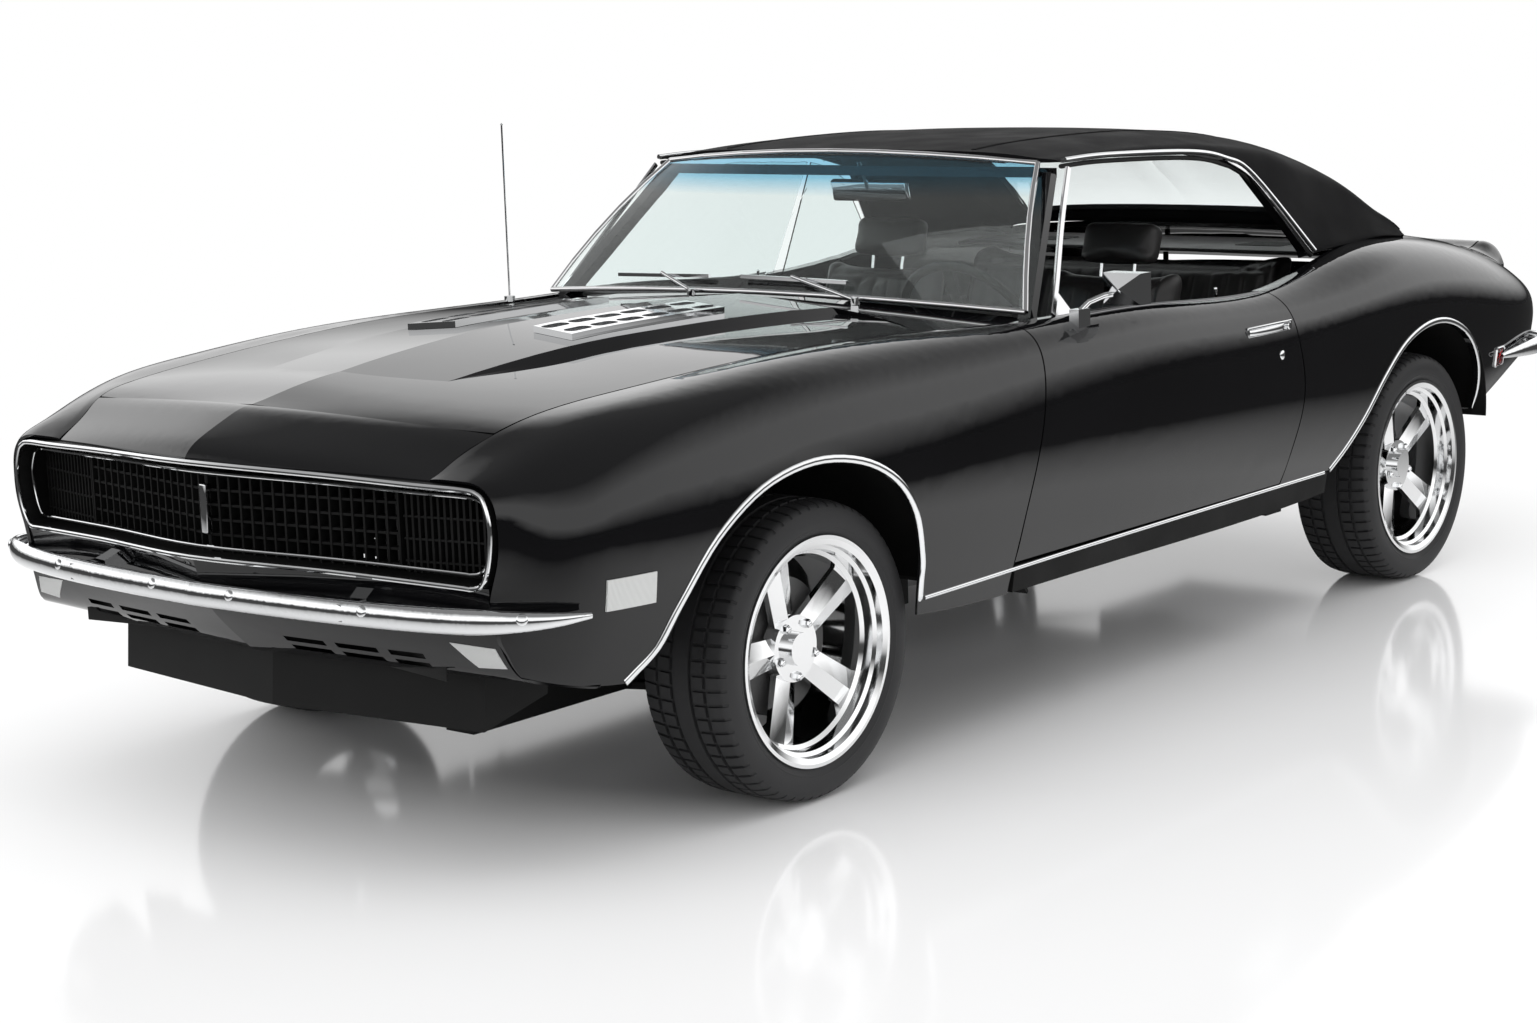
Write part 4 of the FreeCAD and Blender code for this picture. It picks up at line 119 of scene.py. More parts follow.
def ramp(tree, source, low, high, start=0.35, end=0.65):
    node = add_node(tree, "ShaderNodeMapRange")
    node.inputs["From Min"].default_value = start
    node.inputs["From Max"].default_value = end
    node.inputs["To Min"].default_value = low
    node.inputs["To Max"].default_value = high
    tree.links.new(source, node.inputs["Value"])
    return node.outputs["Result"]


def colour_ramp(tree, source, first, second, start=0.35, end=0.65):
    node = add_node(tree, "ShaderNodeValToRGB")
    node.color_ramp.elements[0].position = start
    node.color_ramp.elements[0].color = (*first, 1)
    node.color_ramp.elements[1].position = end
    node.color_ramp.elements[1].color = (*second, 1)
    tree.links.new(source, node.inputs["Fac"])
    return node.outputs["Color"]


def bump(tree, shader, height, strength, distance):
    node = add_node(tree, "ShaderNodeBump")
    node.inputs["Strength"].default_value = strength
    node.inputs["Distance"].default_value = distance
    tree.links.new(height, node.inputs["Height"])
    tree.links.new(node.outputs["Normal"], shader.inputs["Normal"])


def paint(name, colour, rough=0.28):
    """Lacquer: a clear coat over a colour that changes slightly, with a fine orange peel."""
    mat, tree, shader = new_material(name)
    noise = object_noise(tree, 3.0)
    tree.links.new(colour_ramp(tree, noise.outputs["Fac"], colour, tuple(c * 1.25 for c in colour)),
                   shader.inputs["Base Color"])
    set_inputs(shader, Coat_Weight=1.0, Coat_Roughness=0.015, Specular_IOR_Level=0.0)
    tree.links.new(ramp(tree, noise.outputs["Fac"], rough - 0.03, rough + 0.03), shader.inputs["Roughness"])
    peel = object_noise(tree, 900.0, 2.0)
    bump(tree, shader, peel.outputs["Fac"], 0.02, 0.0002)
    return mat


def metal(name, colour, rough, smudge=0.02, scale=6.0):
    mat, tree, shader = new_material(name)
    noise = object_noise(tree, scale, 5.0)
    set_inputs(shader, Metallic=1.0)
    tree.links.new(colour_ramp(tree, noise.outputs["Fac"], tuple(c * 0.96 for c in colour), colour),
                   shader.inputs["Base Color"])
    tree.links.new(ramp(tree, noise.outputs["Fac"], rough, rough + smudge), shader.inputs["Roughness"])
    return mat


def grained(name, colour, rough, grain, depth, tone=1.35, metallic=0.0, shine=0.5):
    """Moulded, sewn or cast surface: cells of a leather-like grain over a slow change of tone."""
    mat, tree, shader = new_material(name)
    slow = object_noise(tree, 7.0, 4.0)
    tree.links.new(colour_ramp(tree, slow.outputs["Fac"], colour, tuple(c * tone for c in colour)),
                   shader.inputs["Base Color"])
    tree.links.new(ramp(tree, slow.outputs["Fac"], rough - 0.05, rough + 0.06), shader.inputs["Roughness"])
    set_inputs(shader, Metallic=metallic, Specular_IOR_Level=shine)
    coords = add_node(tree, "ShaderNodeTexCoord")
    cells = add_node(tree, "ShaderNodeTexVoronoi")
    cells.inputs["Scale"].default_value = grain
    tree.links.new(coords.outputs["Object"], cells.inputs["Vector"])
    bump(tree, shader, cells.outputs["Distance"], 0.5, depth)
    return mat


def glass(name, tint, rough=0.0, ribs=0.0, clear=1.0):
    mat, tree, shader = new_material(name)
    noise = object_noise(tree, 2.0)
    tree.links.new(colour_ramp(tree, noise.outputs["Fac"], tint, tuple(min(1.0, c * 1.02) for c in tint)),
                   shader.inputs["Base Color"])
    set_inputs(shader, Roughness=rough, IOR=1.45, Transmission_Weight=clear)
    if ribs:
        coords = add_node(tree, "ShaderNodeTexCoord")
        wave = add_node(tree, "ShaderNodeTexWave", wave_type="BANDS", bands_direction="Y")
        wave.inputs["Scale"].default_value = ribs
        tree.links.new(coords.outputs["Object"], wave.inputs["Vector"])
        bump(tree, shader, wave.outputs["Fac"], 0.5, 0.001)
    return mat


def banded_glass(name, tint, band, low, high):
    """Tinted glass with a darker band between two heights at its top."""
    mat, tree, shader = new_material(name)
    coords = add_node(tree, "ShaderNodeTexCoord")
    split = add_node(tree, "ShaderNodeSeparateXYZ")
    tree.links.new(coords.outputs["Object"], split.inputs["Vector"])
    share = ramp(tree, split.outputs["Z"], 0.0, 1.0, low, high)
    tree.links.new(colour_ramp(tree, share, tint, band, 0.0, 1.0), shader.inputs["Base Color"])
    set_inputs(shader, Roughness=0.0, IOR=1.45, Transmission_Weight=1.0)
    return mat


MATS = {
    "body_paint": paint("gloss_black", (0.0035, 0.0035, 0.004)),
    "underside": grained("satin_black", (0.005, 0.005, 0.005), 0.6, 400, 0.0003, shine=0.15),
    "vinyl_roof": grained("roof_vinyl", (0.0055, 0.0055, 0.006), 0.62, 480, 0.0006, shine=0.05),
    "chrome": metal("chrome", (0.86, 0.87, 0.88), 0.03),
    "bright_trim": metal("stainless", (0.80, 0.80, 0.81), 0.10),
    "wheel_alloy": metal("polished_alloy", (0.88, 0.885, 0.89), 0.06),
    "tyre_rubber": grained("tyre_rubber", (0.013, 0.013, 0.014), 0.62, 300, 0.0002),
    "tinted_glass": glass("tinted_glass", (0.93, 0.985, 0.975)),
    "lamp_clear": glass("clear_lens", (0.86, 0.87, 0.86), 0.10, 110.0, 0.35),
    "lamp_red": glass("red_lens", (0.65, 0.01, 0.012), 0.04, 110.0),
    "black_plastic": grained("black_plastic", (0.006, 0.006, 0.006), 0.5, 600, 0.0001, shine=0.2),
    "interior": grained("interior_vinyl", (0.018, 0.017, 0.017), 0.45, 420, 0.0004),
    "cast_metal": grained("cast_iron", (0.10, 0.10, 0.10), 0.6, 260, 0.0008, metallic=0.6),
    "steel": metal("plain_steel", (0.35, 0.35, 0.36), 0.35, 0.12),
    "satin_trim": metal("satin_trim", (0.36, 0.36, 0.37), 0.34, 0.06),
    "weatherstrip": grained("weatherstrip", (0.008, 0.008, 0.008), 0.7, 350, 0.0003),
    "reflector": metal("lamp_reflector", (0.82, 0.82, 0.80), 0.16, 0.05, 30.0),
    "windshield": banded_glass("windshield_glass", (0.93, 0.985, 0.975), (0.30, 0.62, 0.80), 1.19, 1.235),
}

NODE_MATERIALS = {"windshield": "windshield"}
for part in frame["record"]["subparts"]:
    node = NODES[part["node"]]
    node.data.materials.clear()
    node.data.materials.append(MATS[NODE_MATERIALS.get(part["node"], part["material_slot"])])


# Surfaces of the frame, to set pieces on; the casts start at these millimetres, outside the car.
BESIDE_CAR = 1500
ABOVE_CAR = 2000
AHEAD_OF_CAR = 1500
BEHIND_CAR = -4200


class Surface:
    """Finds points on the frame's nodes along the three axes."""

    def __init__(self, *names):
        vertices, faces = [], []
        for name in names:
            mesh = NODES[name].data
            start = len(vertices)
            vertices += [vertex.co.copy() for vertex in mesh.vertices]
            faces += [[start + i for i in polygon.vertices] for polygon in mesh.polygons]
        self.tree = BVHTree.FromPolygons(vertices, faces)

    def cast(self, start, direction):
        point, normal, index, distance = self.tree.ray_cast(start, direction)
        if point is None:
            return None, None
        return point, (normal if normal.dot(direction) < 0 else -normal)

    def side(self, ahead, height, sign=1):
        return self.cast(P(ahead, sign * BESIDE_CAR, height), Vector((0, -sign, 0)))

    def top(self, ahead, left):
        return self.cast(P(ahead, left, ABOVE_CAR), Vector((0, 0, -1)))

    def front(self, left, height):
        return self.cast(P(AHEAD_OF_CAR, left, height), Vector((-1, 0, 0)))

    def rear(self, left, height):
        return self.cast(P(BEHIND_CAR, left, height), Vector((1, 0, 0)))


# Mesh building.
def smooth_line(points, steps=6, closed=False):
    """Points along a smooth curve through the given ones."""
    count = len(points)
    result = []
    for i in range(count if closed else count - 1):
        a, b, c, d = (points[k % count] if closed else points[min(max(k, 0), count - 1)]
                      for k in (i - 1, i, i + 1, i + 2))
        for step in range(steps):
            t = step / steps
            result.append(0.5 * ((2 * b) + (c - a) * t + (2 * a - 5 * b + 4 * c - d) * t ** 2
                                 + (3 * b - a - 3 * c + d) * t ** 3))
    if not closed:
        result.append(points[-1].copy())
    return result


def ellipse(wide, high, count=10):
    """Section of a bead, wide along the surface and high off it, in metres."""
    angles = [math.tau * k / count for k in range(count)]
    return [(wide * math.cos(angle), high * math.sin(angle)) for angle in angles]


def flat_section(wide, high, edge=0.3):
    """Section of a flat strip with eased edges."""
    a, b = wide / 2, high
    return [(-a, 0), (a, 0), (a, b * (1 - edge)), (a * 0.8, b), (-a * 0.8, b), (-a, b * (1 - edge))]


def rectangle_ring(middle, half_wide, half_high, near):
    """Closed line round a rectangle given by its half sides; near, a share of a side, keeps corners tight."""
    corners = [middle + half_wide * a + half_high * b for a, b in ((1, 1), (-1, 1), (-1, -1), (1, -1))]
    ring = []
    for first, second in zip(corners, corners[1:] + corners[:1]):
        ring += [first.lerp(second, share) for share in (near, 0.5, 1 - near)]
    return ring


class Shape:
    """Collects vertices and faces and turns them into one piece."""

    def __init__(self):
        self.vertices = []
        self.faces = []

    def add(self, vertices, faces):
        start = len(self.vertices)
        self.vertices += [Vector(v) for v in vertices]
        self.faces += [[start + i for i in face] for face in faces]
        return self

    def grid(self, rows, wrap_rows=False, wrap_columns=False):
        count = len(rows[0])
        vertices = [point for row in rows for point in row]
        faces = []
        for i in range(len(rows) if wrap_rows else len(rows) - 1):
            for j in range(count if wrap_columns else count - 1):
                k, m = (i + 1) % len(rows), (j + 1) % count
                faces.append([i * count + j, i * count + m, k * count + m, k * count + j])
        return self.add(vertices, faces)

    def sweep(self, points, ups, section, closed=False):
        """Section of (across, out) metres carried along points; ups are the outward directions."""
        rows = []
        count = len(points)
        for i, point in enumerate(points):
            before = points[(i - 1) % count] if closed else points[max(i - 1, 0)]
            after = points[(i + 1) % count] if closed else points[min(i + 1, count - 1)]
            along = (after - before).normalized()
            across = along.cross(ups[i]).normalized()
            out = across.cross(along).normalized()
            rows.append([point + across * a + out * b for a, b in section])
        self.grid(rows, closed, True)
        if not closed:
            size = len(section)
            start = len(self.vertices) - size * count
            self.faces.append([start + j for j in range(size)][::-1])
            self.faces.append([len(self.vertices) - size + j for j in range(size)])
        return self

    def lathe(self, profile, centre, axis, count=32):
        """Profile of (radius, height along the axis) metres turned about the axis."""
        axis = Vector(axis).normalized()
        u = axis.orthogonal().normalized()
        v = axis.cross(u)
        rows = []
        for k in range(count):
            angle = math.tau * k / count
            spoke = u * math.cos(angle) + v * math.sin(angle)
            rows.append([Vector(centre) + spoke * r + axis * h for r, h in profile])
        return self.grid(rows, True, False)

    def block(self, centre, sizes, radius, axes=None, segments=3):
        """Box with rounded edges; axes are three directions, those of the frame if none are given."""
        bm = bmesh.new()
        bmesh.ops.create_cube(bm, size=1.0)
        bmesh.ops.scale(bm, vec=Vector(sizes), verts=bm.verts)
        bmesh.ops.bevel(bm, geom=list(bm.edges), offset=radius, segments=segments, profile=0.5,
                        affect="EDGES")
        turn = Matrix.Identity(3)
        if axes is not None:
            turn = Matrix([Vector(axis).normalized() for axis in axes]).transposed()
        bm.verts.ensure_lookup_table()
        vertices = [Vector(centre) + turn @ v.co for v in bm.verts]
        faces = [[v.index for v in f.verts] for f in bm.faces]
        bm.free()
        return self.add(vertices, faces)

    def piece(self, name, material, body, slot, replaced=(), sharp=32):
        mesh = bpy.data.meshes.new(name)
        mesh.from_pydata([tuple(v) for v in self.vertices], [], self.faces)
        bm = bmesh.new()
        bm.from_mesh(mesh)
        bmesh.ops.remove_doubles(bm, verts=bm.verts, dist=1e-6)
        bmesh.ops.recalc_face_normals(bm, faces=bm.faces)
        bm.to_mesh(mesh)
        bm.free()
        mesh.shade_smooth()
        mesh.set_sharp_from_angle(angle=math.radians(sharp))
        return dress(bpy.data.objects.new(name, mesh), material, body, replaced)


def dress(obj, material, body, replaced=()):
    """Gives a new piece its material and the body that it rides on, and hides the nodes that it stands for.
    """
    if obj.name not in scene.collection.objects:
        scene.collection.objects.link(obj)
    obj.data.materials.clear()
    obj.data.materials.append(MATS[material])
    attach(obj, body)
    if replaced:
        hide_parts(*replaced)
    return obj


BODY_SIDE = {1: "left", -1: "right"}

# Wheels: corner, centre and the direction that faces out.
FRONT_AXLE, REAR_AXLE = 1.375, -1.371
WHEEL_HEIGHT = 0.322
WHEELS = {"fl": (FRONT_AXLE, 0.740, 1), "fr": (FRONT_AXLE, -0.740, -1),
          "rl": (REAR_AXLE, 0.7555, 1), "rr": (REAR_AXLE, -0.7555, -1)}

# Half of the tyre's section from the bead to the middle of the tread: radius, offset in mm.
TYRE_SIDE = [(230, 96), (232, 101), (238, 102.5), (246, 103.5), (250, 107), (256, 111.5), (262, 114.6),
             (262.8, 115.6), (264.6, 116), (265.6, 115.6), (271, 117), (280, 117.6), (288, 117.2), (294, 116),
             (300, 114), (306, 111.2), (310, 108.4), (313.4, 105), (316, 100)]
TREAD = [(317.6, 94), (319.6, 84), (321, 76), (321.6, 68), (321.6, 67), (321.9, 59), (321.9, 58), (322, 30),
         (322, 29), (322, 21), (322, 20), (322, 0)]
# Grooves round the tyre, as offsets, and the slots across it, slanted by a share of a pitch in 100 mm.
SHOULDER_GROOVE = (59, 67)
MIDDLE_GROOVE = (21, 29)
GROOVE_DEPTH = 6.5
SLOT_DEPTH = 5.0
SLOT_FADE = 100
SLOT_SLANT = 0.18
MIDDLE_SHIFT = 0.05
SLOT_RADIUS = 309
SLANT_RADIUS = 312
TREAD_PITCHES = 64
# Where a pitch's rings stand, as shares of it, and whether each lies in the lateral slot.
PITCH_RINGS = [(0.0, 0), (0.03, 1), (0.22, 1), (0.25, 0), (0.62, 0)]


def tread_radius(radius, offset, in_slot):
    """Radius in mm of a point of the tread, lower in the grooves round the tyre and in the slots."""
    depth = 0.0
    for start, end in (SHOULDER_GROOVE, MIDDLE_GROOVE):
        if start <= offset <= end:
            depth = GROOVE_DEPTH
    if in_slot and (offset > SHOULDER_GROOVE[1] or MIDDLE_GROOVE[1] < offset < SHOULDER_GROOVE[0]):
        depth = max(depth, SLOT_DEPTH * (1.0 if offset < SLOT_FADE else 0.5))
    return radius - depth


def add_tyre(corner):
    x, y, outward = WHEELS[corner]
    half = TYRE_SIDE + TREAD
    profile = [(r, w) for r, w in half] + [(r, -w) for r, w in half[-2::-1]]
    rows = []
    for pitch in range(TREAD_PITCHES):
        for share, in_slot in PITCH_RINGS:
            row = []
            for radius, offset in profile:
                twist = SLOT_SLANT * abs(offset) / 100 if abs(offset) > MIDDLE_GROOVE[1] else MIDDLE_SHIFT
                slant = twist if radius > SLANT_RADIUS else SLOT_SLANT
                angle = math.tau * (pitch + share + slant) / TREAD_PITCHES
                lowered = tread_radius(radius, abs(offset), in_slot) if radius > SLOT_RADIUS else radius
                row.append(Vector((x + lowered * math.cos(angle) / 1000, y + outward * offset / 1000,
                                   WHEEL_HEIGHT + lowered * math.sin(angle) / 1000)))
            rows.append(row)
    tyre = Shape().grid(rows, True, True)
    tyre.piece("tread_tyre_" + corner, "tyre_rubber", "wheel_" + corner, "tyre_rubber", ["tyre_" + corner])


LUG_COUNT = 5
LUG_PITCH = 0.060
LUG_FACE = 0.046
LUG_PROFILE = [(0.0, 0.016), (0.004, 0.0155), (0.0075, 0.013), (0.0095, 0.010), (0.0105, 0.0),
               (0.0105, -0.002)]


def add_lugs(corner):
    """Domed nuts round the cap of a wheel."""
    x, y, outward = WHEELS[corner]
    shape = Shape()
    for k in range(LUG_COUNT):
        angle = math.pi / 2 + math.tau * (k + 0.5) / LUG_COUNT
        centre = (x + LUG_PITCH * math.cos(angle), y + outward * LUG_FACE,
                  WHEEL_HEIGHT + LUG_PITCH * math.sin(angle))
        shape.lathe(LUG_PROFILE, centre, (0, outward, 0), 6)
    shape.piece("wheel_nuts_" + corner, "chrome", "wheel_" + corner, "wheel_alloy")


for corner in WHEELS:
    add_tyre(corner)
    add_lugs(corner)


# Grille: two bright frames and the upright bar in the middle.
MOUTH = [(0, 603), (350, 597), (640, 586), (680, 584), (705, 594), (724, 638), (732, 706), (719, 757),
         (702, 774), (670, 781), (560, 785), (350, 794), (0, 804)]
MOUTH_HALF_WIDTH = 732
MOUTH_HALF_HEIGHT = 100
MOUTH_MIDDLE = 695
NOSE_AHEAD = 953
NOSE_SWEEP = 124
NOSE_HALF_WIDTH = 700
# Beads of the frame: name, inset from the mouth's edge, how far back, and width.
GRILLE_BEADS = [("grille_bead_outer", 4, -4, 0.0055), ("grille_bead_inner", 24, 22, 0.0035)]


def nose_ahead(left):
    share = min(abs(left) / NOSE_HALF_WIDTH, 1)
    return NOSE_AHEAD - NOSE_SWEEP * (0.85 * share + 0.15 * share * share)


def mouth_loop(inset, back):
    """Closed line round the mouth, moved in from its edge and back from the nose."""
    narrow, low = 1 - inset / MOUTH_HALF_WIDTH, 1 - inset / MOUTH_HALF_HEIGHT
    half = [(left * narrow, MOUTH_MIDDLE + (height - MOUTH_MIDDLE) * low) for left, height in MOUTH]
    line = half + [(-left, height) for left, height in half[-2:0:-1]]
    return [P(nose_ahead(left) - back, left, height) for left, height in line]


def add_grille_beads():
    for name, inset, back, wide in GRILLE_BEADS:
        points = smooth_line(mouth_loop(inset, back), 5, True)
        ups = [Vector((1, 0, 0))] * len(points)
        Shape().sweep(points, ups, ellipse(wide, wide * 0.9), True).piece(name, "chrome", "shell", "chrome")
    bar = Shape().block(P(nose_ahead(0) - 44, 0, 698), (0.016, 0.019, 0.104), 0.004)
    bar.piece("grille_bar", "chrome", "shell", "chrome")


add_grille_beads()


BOLT_HEAD = [(0.0, 0.004), (0.006, 0.0036), (0.010, 0.002), (0.0115, 0.0), (0.0115, -0.001)]


FRONT_BOLTS = [(120, 541), (470, 541), (790, 539)]
REAR_BOLTS = [(420, 600), (800, 600)]


def add_bolts(name, cast, places):
    """Domed bolt heads on the face of a bumper, at places of (left, height) on both sides."""
    shape = Shape()
    for left, height in places:
        for sign in (1, -1):
            point, normal = cast(sign * left, height)
            shape.lathe(BOLT_HEAD, point, normal, 20)
    shape.piece(name, "chrome", "shell", "chrome")


add_bolts("bumper_bolts", Surface("bumper_front").front, FRONT_BOLTS)
add_bolts("bumper_bolts_rear", Surface("bumper_rear").rear, REAR_BOLTS)


def add_valance_screen():
    """Black screens behind the slots of the valance."""
    shape = Shape()
    valance = Surface("front_valance")
    for sign in (1, -1):
        point, facing = valance.front(sign * 340, 396)
        shape.block(point + Vector((-0.030, 0, 0.020)), (0.004, 0.44, 0.060), 0.0015,
                    ((1, -sign * 0.17, 0), (sign * 0.17, 1, 0), (0, 0, 1)))
    shape.piece("valance_screens", "black_plastic", "shell", "black_plastic")


add_valance_screen()

# Doors: handle and lock, belt strip, front frame of the window, lock knob, lining and crank inside.
HANDLE_MIDDLE = (-1818, 815)
HANDLE_LENGTH = 0.226
GRIP_START, GRIP_LENGTH, GRIP_BOW = 110, 176, 0.0115
LOCK_PLACE = (-1866, 743)
BELT_START, BELT_LENGTH, BELT_LEFT = -1060, 850, 822
LINING_START, LINING_LENGTH = -1000, 800
LINING_LINES = (620, 760, 800)


def add_door_handle(side, sign, skin):
    handle = Shape()
    ahead, height = HANDLE_MIDDLE
    base, normal = skin.side(ahead, height, sign)
    handle.block(base, (HANDLE_LENGTH, 0.006, 0.028), 0.0028)
    grip = []
    for k in range(13):
        share = k / 12
        point, facing = skin.side(ahead + GRIP_START - GRIP_LENGTH * share, height, sign)
        grip.append(point + Vector((0, sign * (0.003 + GRIP_BOW * math.sin(math.pi * share) ** 0.5), 0)))
    handle.sweep(grip, [Vector((0, sign, 0))] * len(grip), ellipse(0.0085, 0.004))
    button, facing = skin.side(ahead - 88, height, sign)
    handle.lathe([(0.0, 0.012), (0.008, 0.0115), (0.0105, 0.009), (0.0105, 0.0)], button, (0, sign, 0), 24)
    lock, facing = skin.side(*LOCK_PLACE, sign)
    handle.lathe([(0.0, 0.0035), (0.009, 0.003), (0.012, 0.001), (0.0125, -0.001)], lock, (0, sign, 0), 24)
    handle.piece("door_handle_" + side, "chrome", "door_" + side, "chrome")


def add_belt_strip(side, sign, skin):
    strip_points, strip_ups = [], []
    for k in range(25):
        place = BELT_START - BELT_LENGTH * k / 24
        point, facing = skin.top(place, sign * BELT_LEFT)
        strip_points.append(point)
        strip_ups.append(Vector((0, sign * 0.4, 1)))
    strip = Shape().sweep(strip_points, strip_ups, flat_section(0.011, 0.003))
    strip.piece("belt_strip_" + side, "satin_trim", "door_" + side, "bright_trim")


def add_window_frame(side, sign):
    """Strip along the windshield pillar and the triangle that closes it at the belt."""
    frame_points = smooth_line([P(-1000, sign * 783, 928), P(-1060, sign * 756, 1002),
                                P(-1165, sign * 704, 1135), P(-1262, sign * 662, 1254)], 6)
    ups = [Vector((0.25, sign, 0.1))] * len(frame_points)
    frame_shape = Shape().sweep(frame_points, ups, flat_section(0.015, 0.008))
    corner = [P(-1002, sign * 786, 922), P(-1092, sign * 786, 922), P(-1046, sign * 766, 984)]
    inner = [point - Vector((0, sign * 0.006, 0)) for point in corner]
    frame_shape.add(corner + inner, [[0, 1, 2], [5, 4, 3], [0, 3, 4, 1], [1, 4, 5, 2], [2, 5, 3, 0]])
    frame_shape.piece("window_frame_" + side, "bright_trim", "door_" + side, "bright_trim")


def add_lock_knob(side, sign):
    knob = Shape().lathe([(0.0, 0.026), (0.004, 0.025), (0.005, 0.020), (0.004, 0.012), (0.0045, 0.0)],
                         P(-1800, sign * 760, 892), (0, 0, 1), 16)
    knob.piece("lock_knob_" + side, "chrome", "door_" + side, "chrome")


def add_door_lining(side, sign, lining):
    """Armrest and three welts on the inner face of a door."""
    panel = Shape()
    inside, facing = lining.cast(P(-1400, 0, 700), Vector((0, sign, 0)))
    panel.block(inside + Vector((0, -sign * 0.018, -0.03)), (0.46, 0.042, 0.058), 0.016)
    for height in LINING_LINES:
        points = []
        for k in range(9):
            place = LINING_START - LINING_LENGTH * k / 8
            point, facing = lining.cast(P(place, 0, height), Vector((0, sign, 0)))
            if point is not None:
                points.append(point)
        panel.sweep(points, [Vector((0, -sign, 0))] * len(points), ellipse(0.005, 0.003, 8))
    panel.piece("door_lining_" + side, "interior", "door_" + side, "interior")


def add_window_crank(side, sign, lining):
    crank = Shape()
    boss, facing = lining.cast(P(-1330, 0, 740), Vector((0, sign, 0)))
    crank.lathe([(0.0, 0.02), (0.012, 0.018), (0.016, 0.004), (0.018, 0.0)], boss, (0, -sign, 0), 20)
    crank.block(boss + Vector((0.045, -sign * 0.016, -0.03)), (0.11, 0.006, 0.014), 0.0028,
                ((0.83, 0, -0.55), (0, 1, 0), (0.55, 0, 0.83)))
    crank.lathe([(0.0, 0.03), (0.008, 0.028), (0.010, 0.014), (0.007, 0.0)],
                boss + Vector((0.088, -sign * 0.016, -0.058)), (0, -sign, 0), 16)
    crank.piece("window_crank_" + side, "chrome", "door_" + side, "chrome")


for sign, side in BODY_SIDE.items():
    door = Surface("door_" + side)
    add_door_handle(side, sign, door)
    add_belt_strip(side, sign, door)
    add_window_frame(side, sign)
    add_lock_knob(side, sign)
    add_door_lining(side, sign, door)
    add_window_crank(side, sign, door)


def add_mirror_glass():
    shape = Shape().block(P(-1152, 913, 985), (0.004, 0.092, 0.064), 0.0019)
    shape.piece("mirror_glass", "chrome", "door_left", "chrome", sharp=60)


add_mirror_glass()

# Half-round mouldings round the wheel openings and along the sills, in place of the flat ones.
FRONT_ARCH = [(585, 365), (560, 384), (509, 427), (455, 509), (359, 622), (222, 700), (59, 730), (-91, 711),
              (-201, 657), (-265, 579), (-294, 476), (-294, 430), (-296, 380)]
REAR_ARCH = [(-2165, 392), (-2245, 444), (-2335, 515), (-2440, 612), (-2560, 690), (-2700, 727), (-2840, 722),
             (-2970, 672), (-3046, 590), (-3074, 505), (-3072, 425)]
SILL_LINE = [(-319, 385), (-900, 391), (-1500, 395), (-2130, 397)]
TRIM_HIGH = 0.0037


def half_round(wide, high, count=8):
    angles = [math.pi * k / count for k in range(count + 1)]
    return [(wide / 2 * math.cos(angle), high * math.sin(angle)) for angle in angles]


def moved_line(line, distance):
    """Line of (ahead, height) moved sideways."""
    result = []
    for i, (ahead, height) in enumerate(line):
        before, after = line[max(i - 1, 0)], line[min(i + 1, len(line) - 1)]
        along = (after[0] - before[0], after[1] - before[1])
        length = math.hypot(*along)
        result.append((ahead + along[1] / length * distance, height - along[0] / length * distance))
    return result


def add_mouldings():
    shape = Shape()
    for sign in (1, -1):
        side = BODY_SIDE[sign]
        skin = Surface("side_trim", "fender_" + side, "quarter_" + side, "underbody")
        for line, distance, wide in ((FRONT_ARCH, 9, 0.0165), (REAR_ARCH, 9, 0.0165), (SILL_LINE, 0, 0.010)):
            flat = smooth_line([Vector((a, 0, h)) for a, h in moved_line(line, distance)], 5)
            points, ups = [], []
            for place in flat:
                point, facing = skin.side(place.x, place.z, sign)
                if point is None:
                    continue
                facing = Vector((0, sign, 0)).lerp(facing, 0.5).normalized()
                points.append(point - Vector((0, sign * TRIM_HIGH, 0)))
                ups.append(facing)
            shape.sweep(points, ups, half_round(wide, TRIM_HIGH))
    shape.piece("side_mouldings", "chrome", "shell", "bright_trim", ["side_trim"])


add_mouldings()

# Roof: weatherstrip and bead along the drip rail, mouldings behind the side window, and seams.
DRIP_RAIL = [(-1262, 648, 1272), (-1450, 650, 1274), (-1840, 652, 1259), (-2025, 654, 1232),
             (-2150, 668, 1180), (-2345, 745, 965)]
WINDOW_REAR = [(-2020, 1222), (-2120, 1176), (-2210, 1092), (-2290, 1004), (-2330, 958)]
SEAM_LEFT = 395


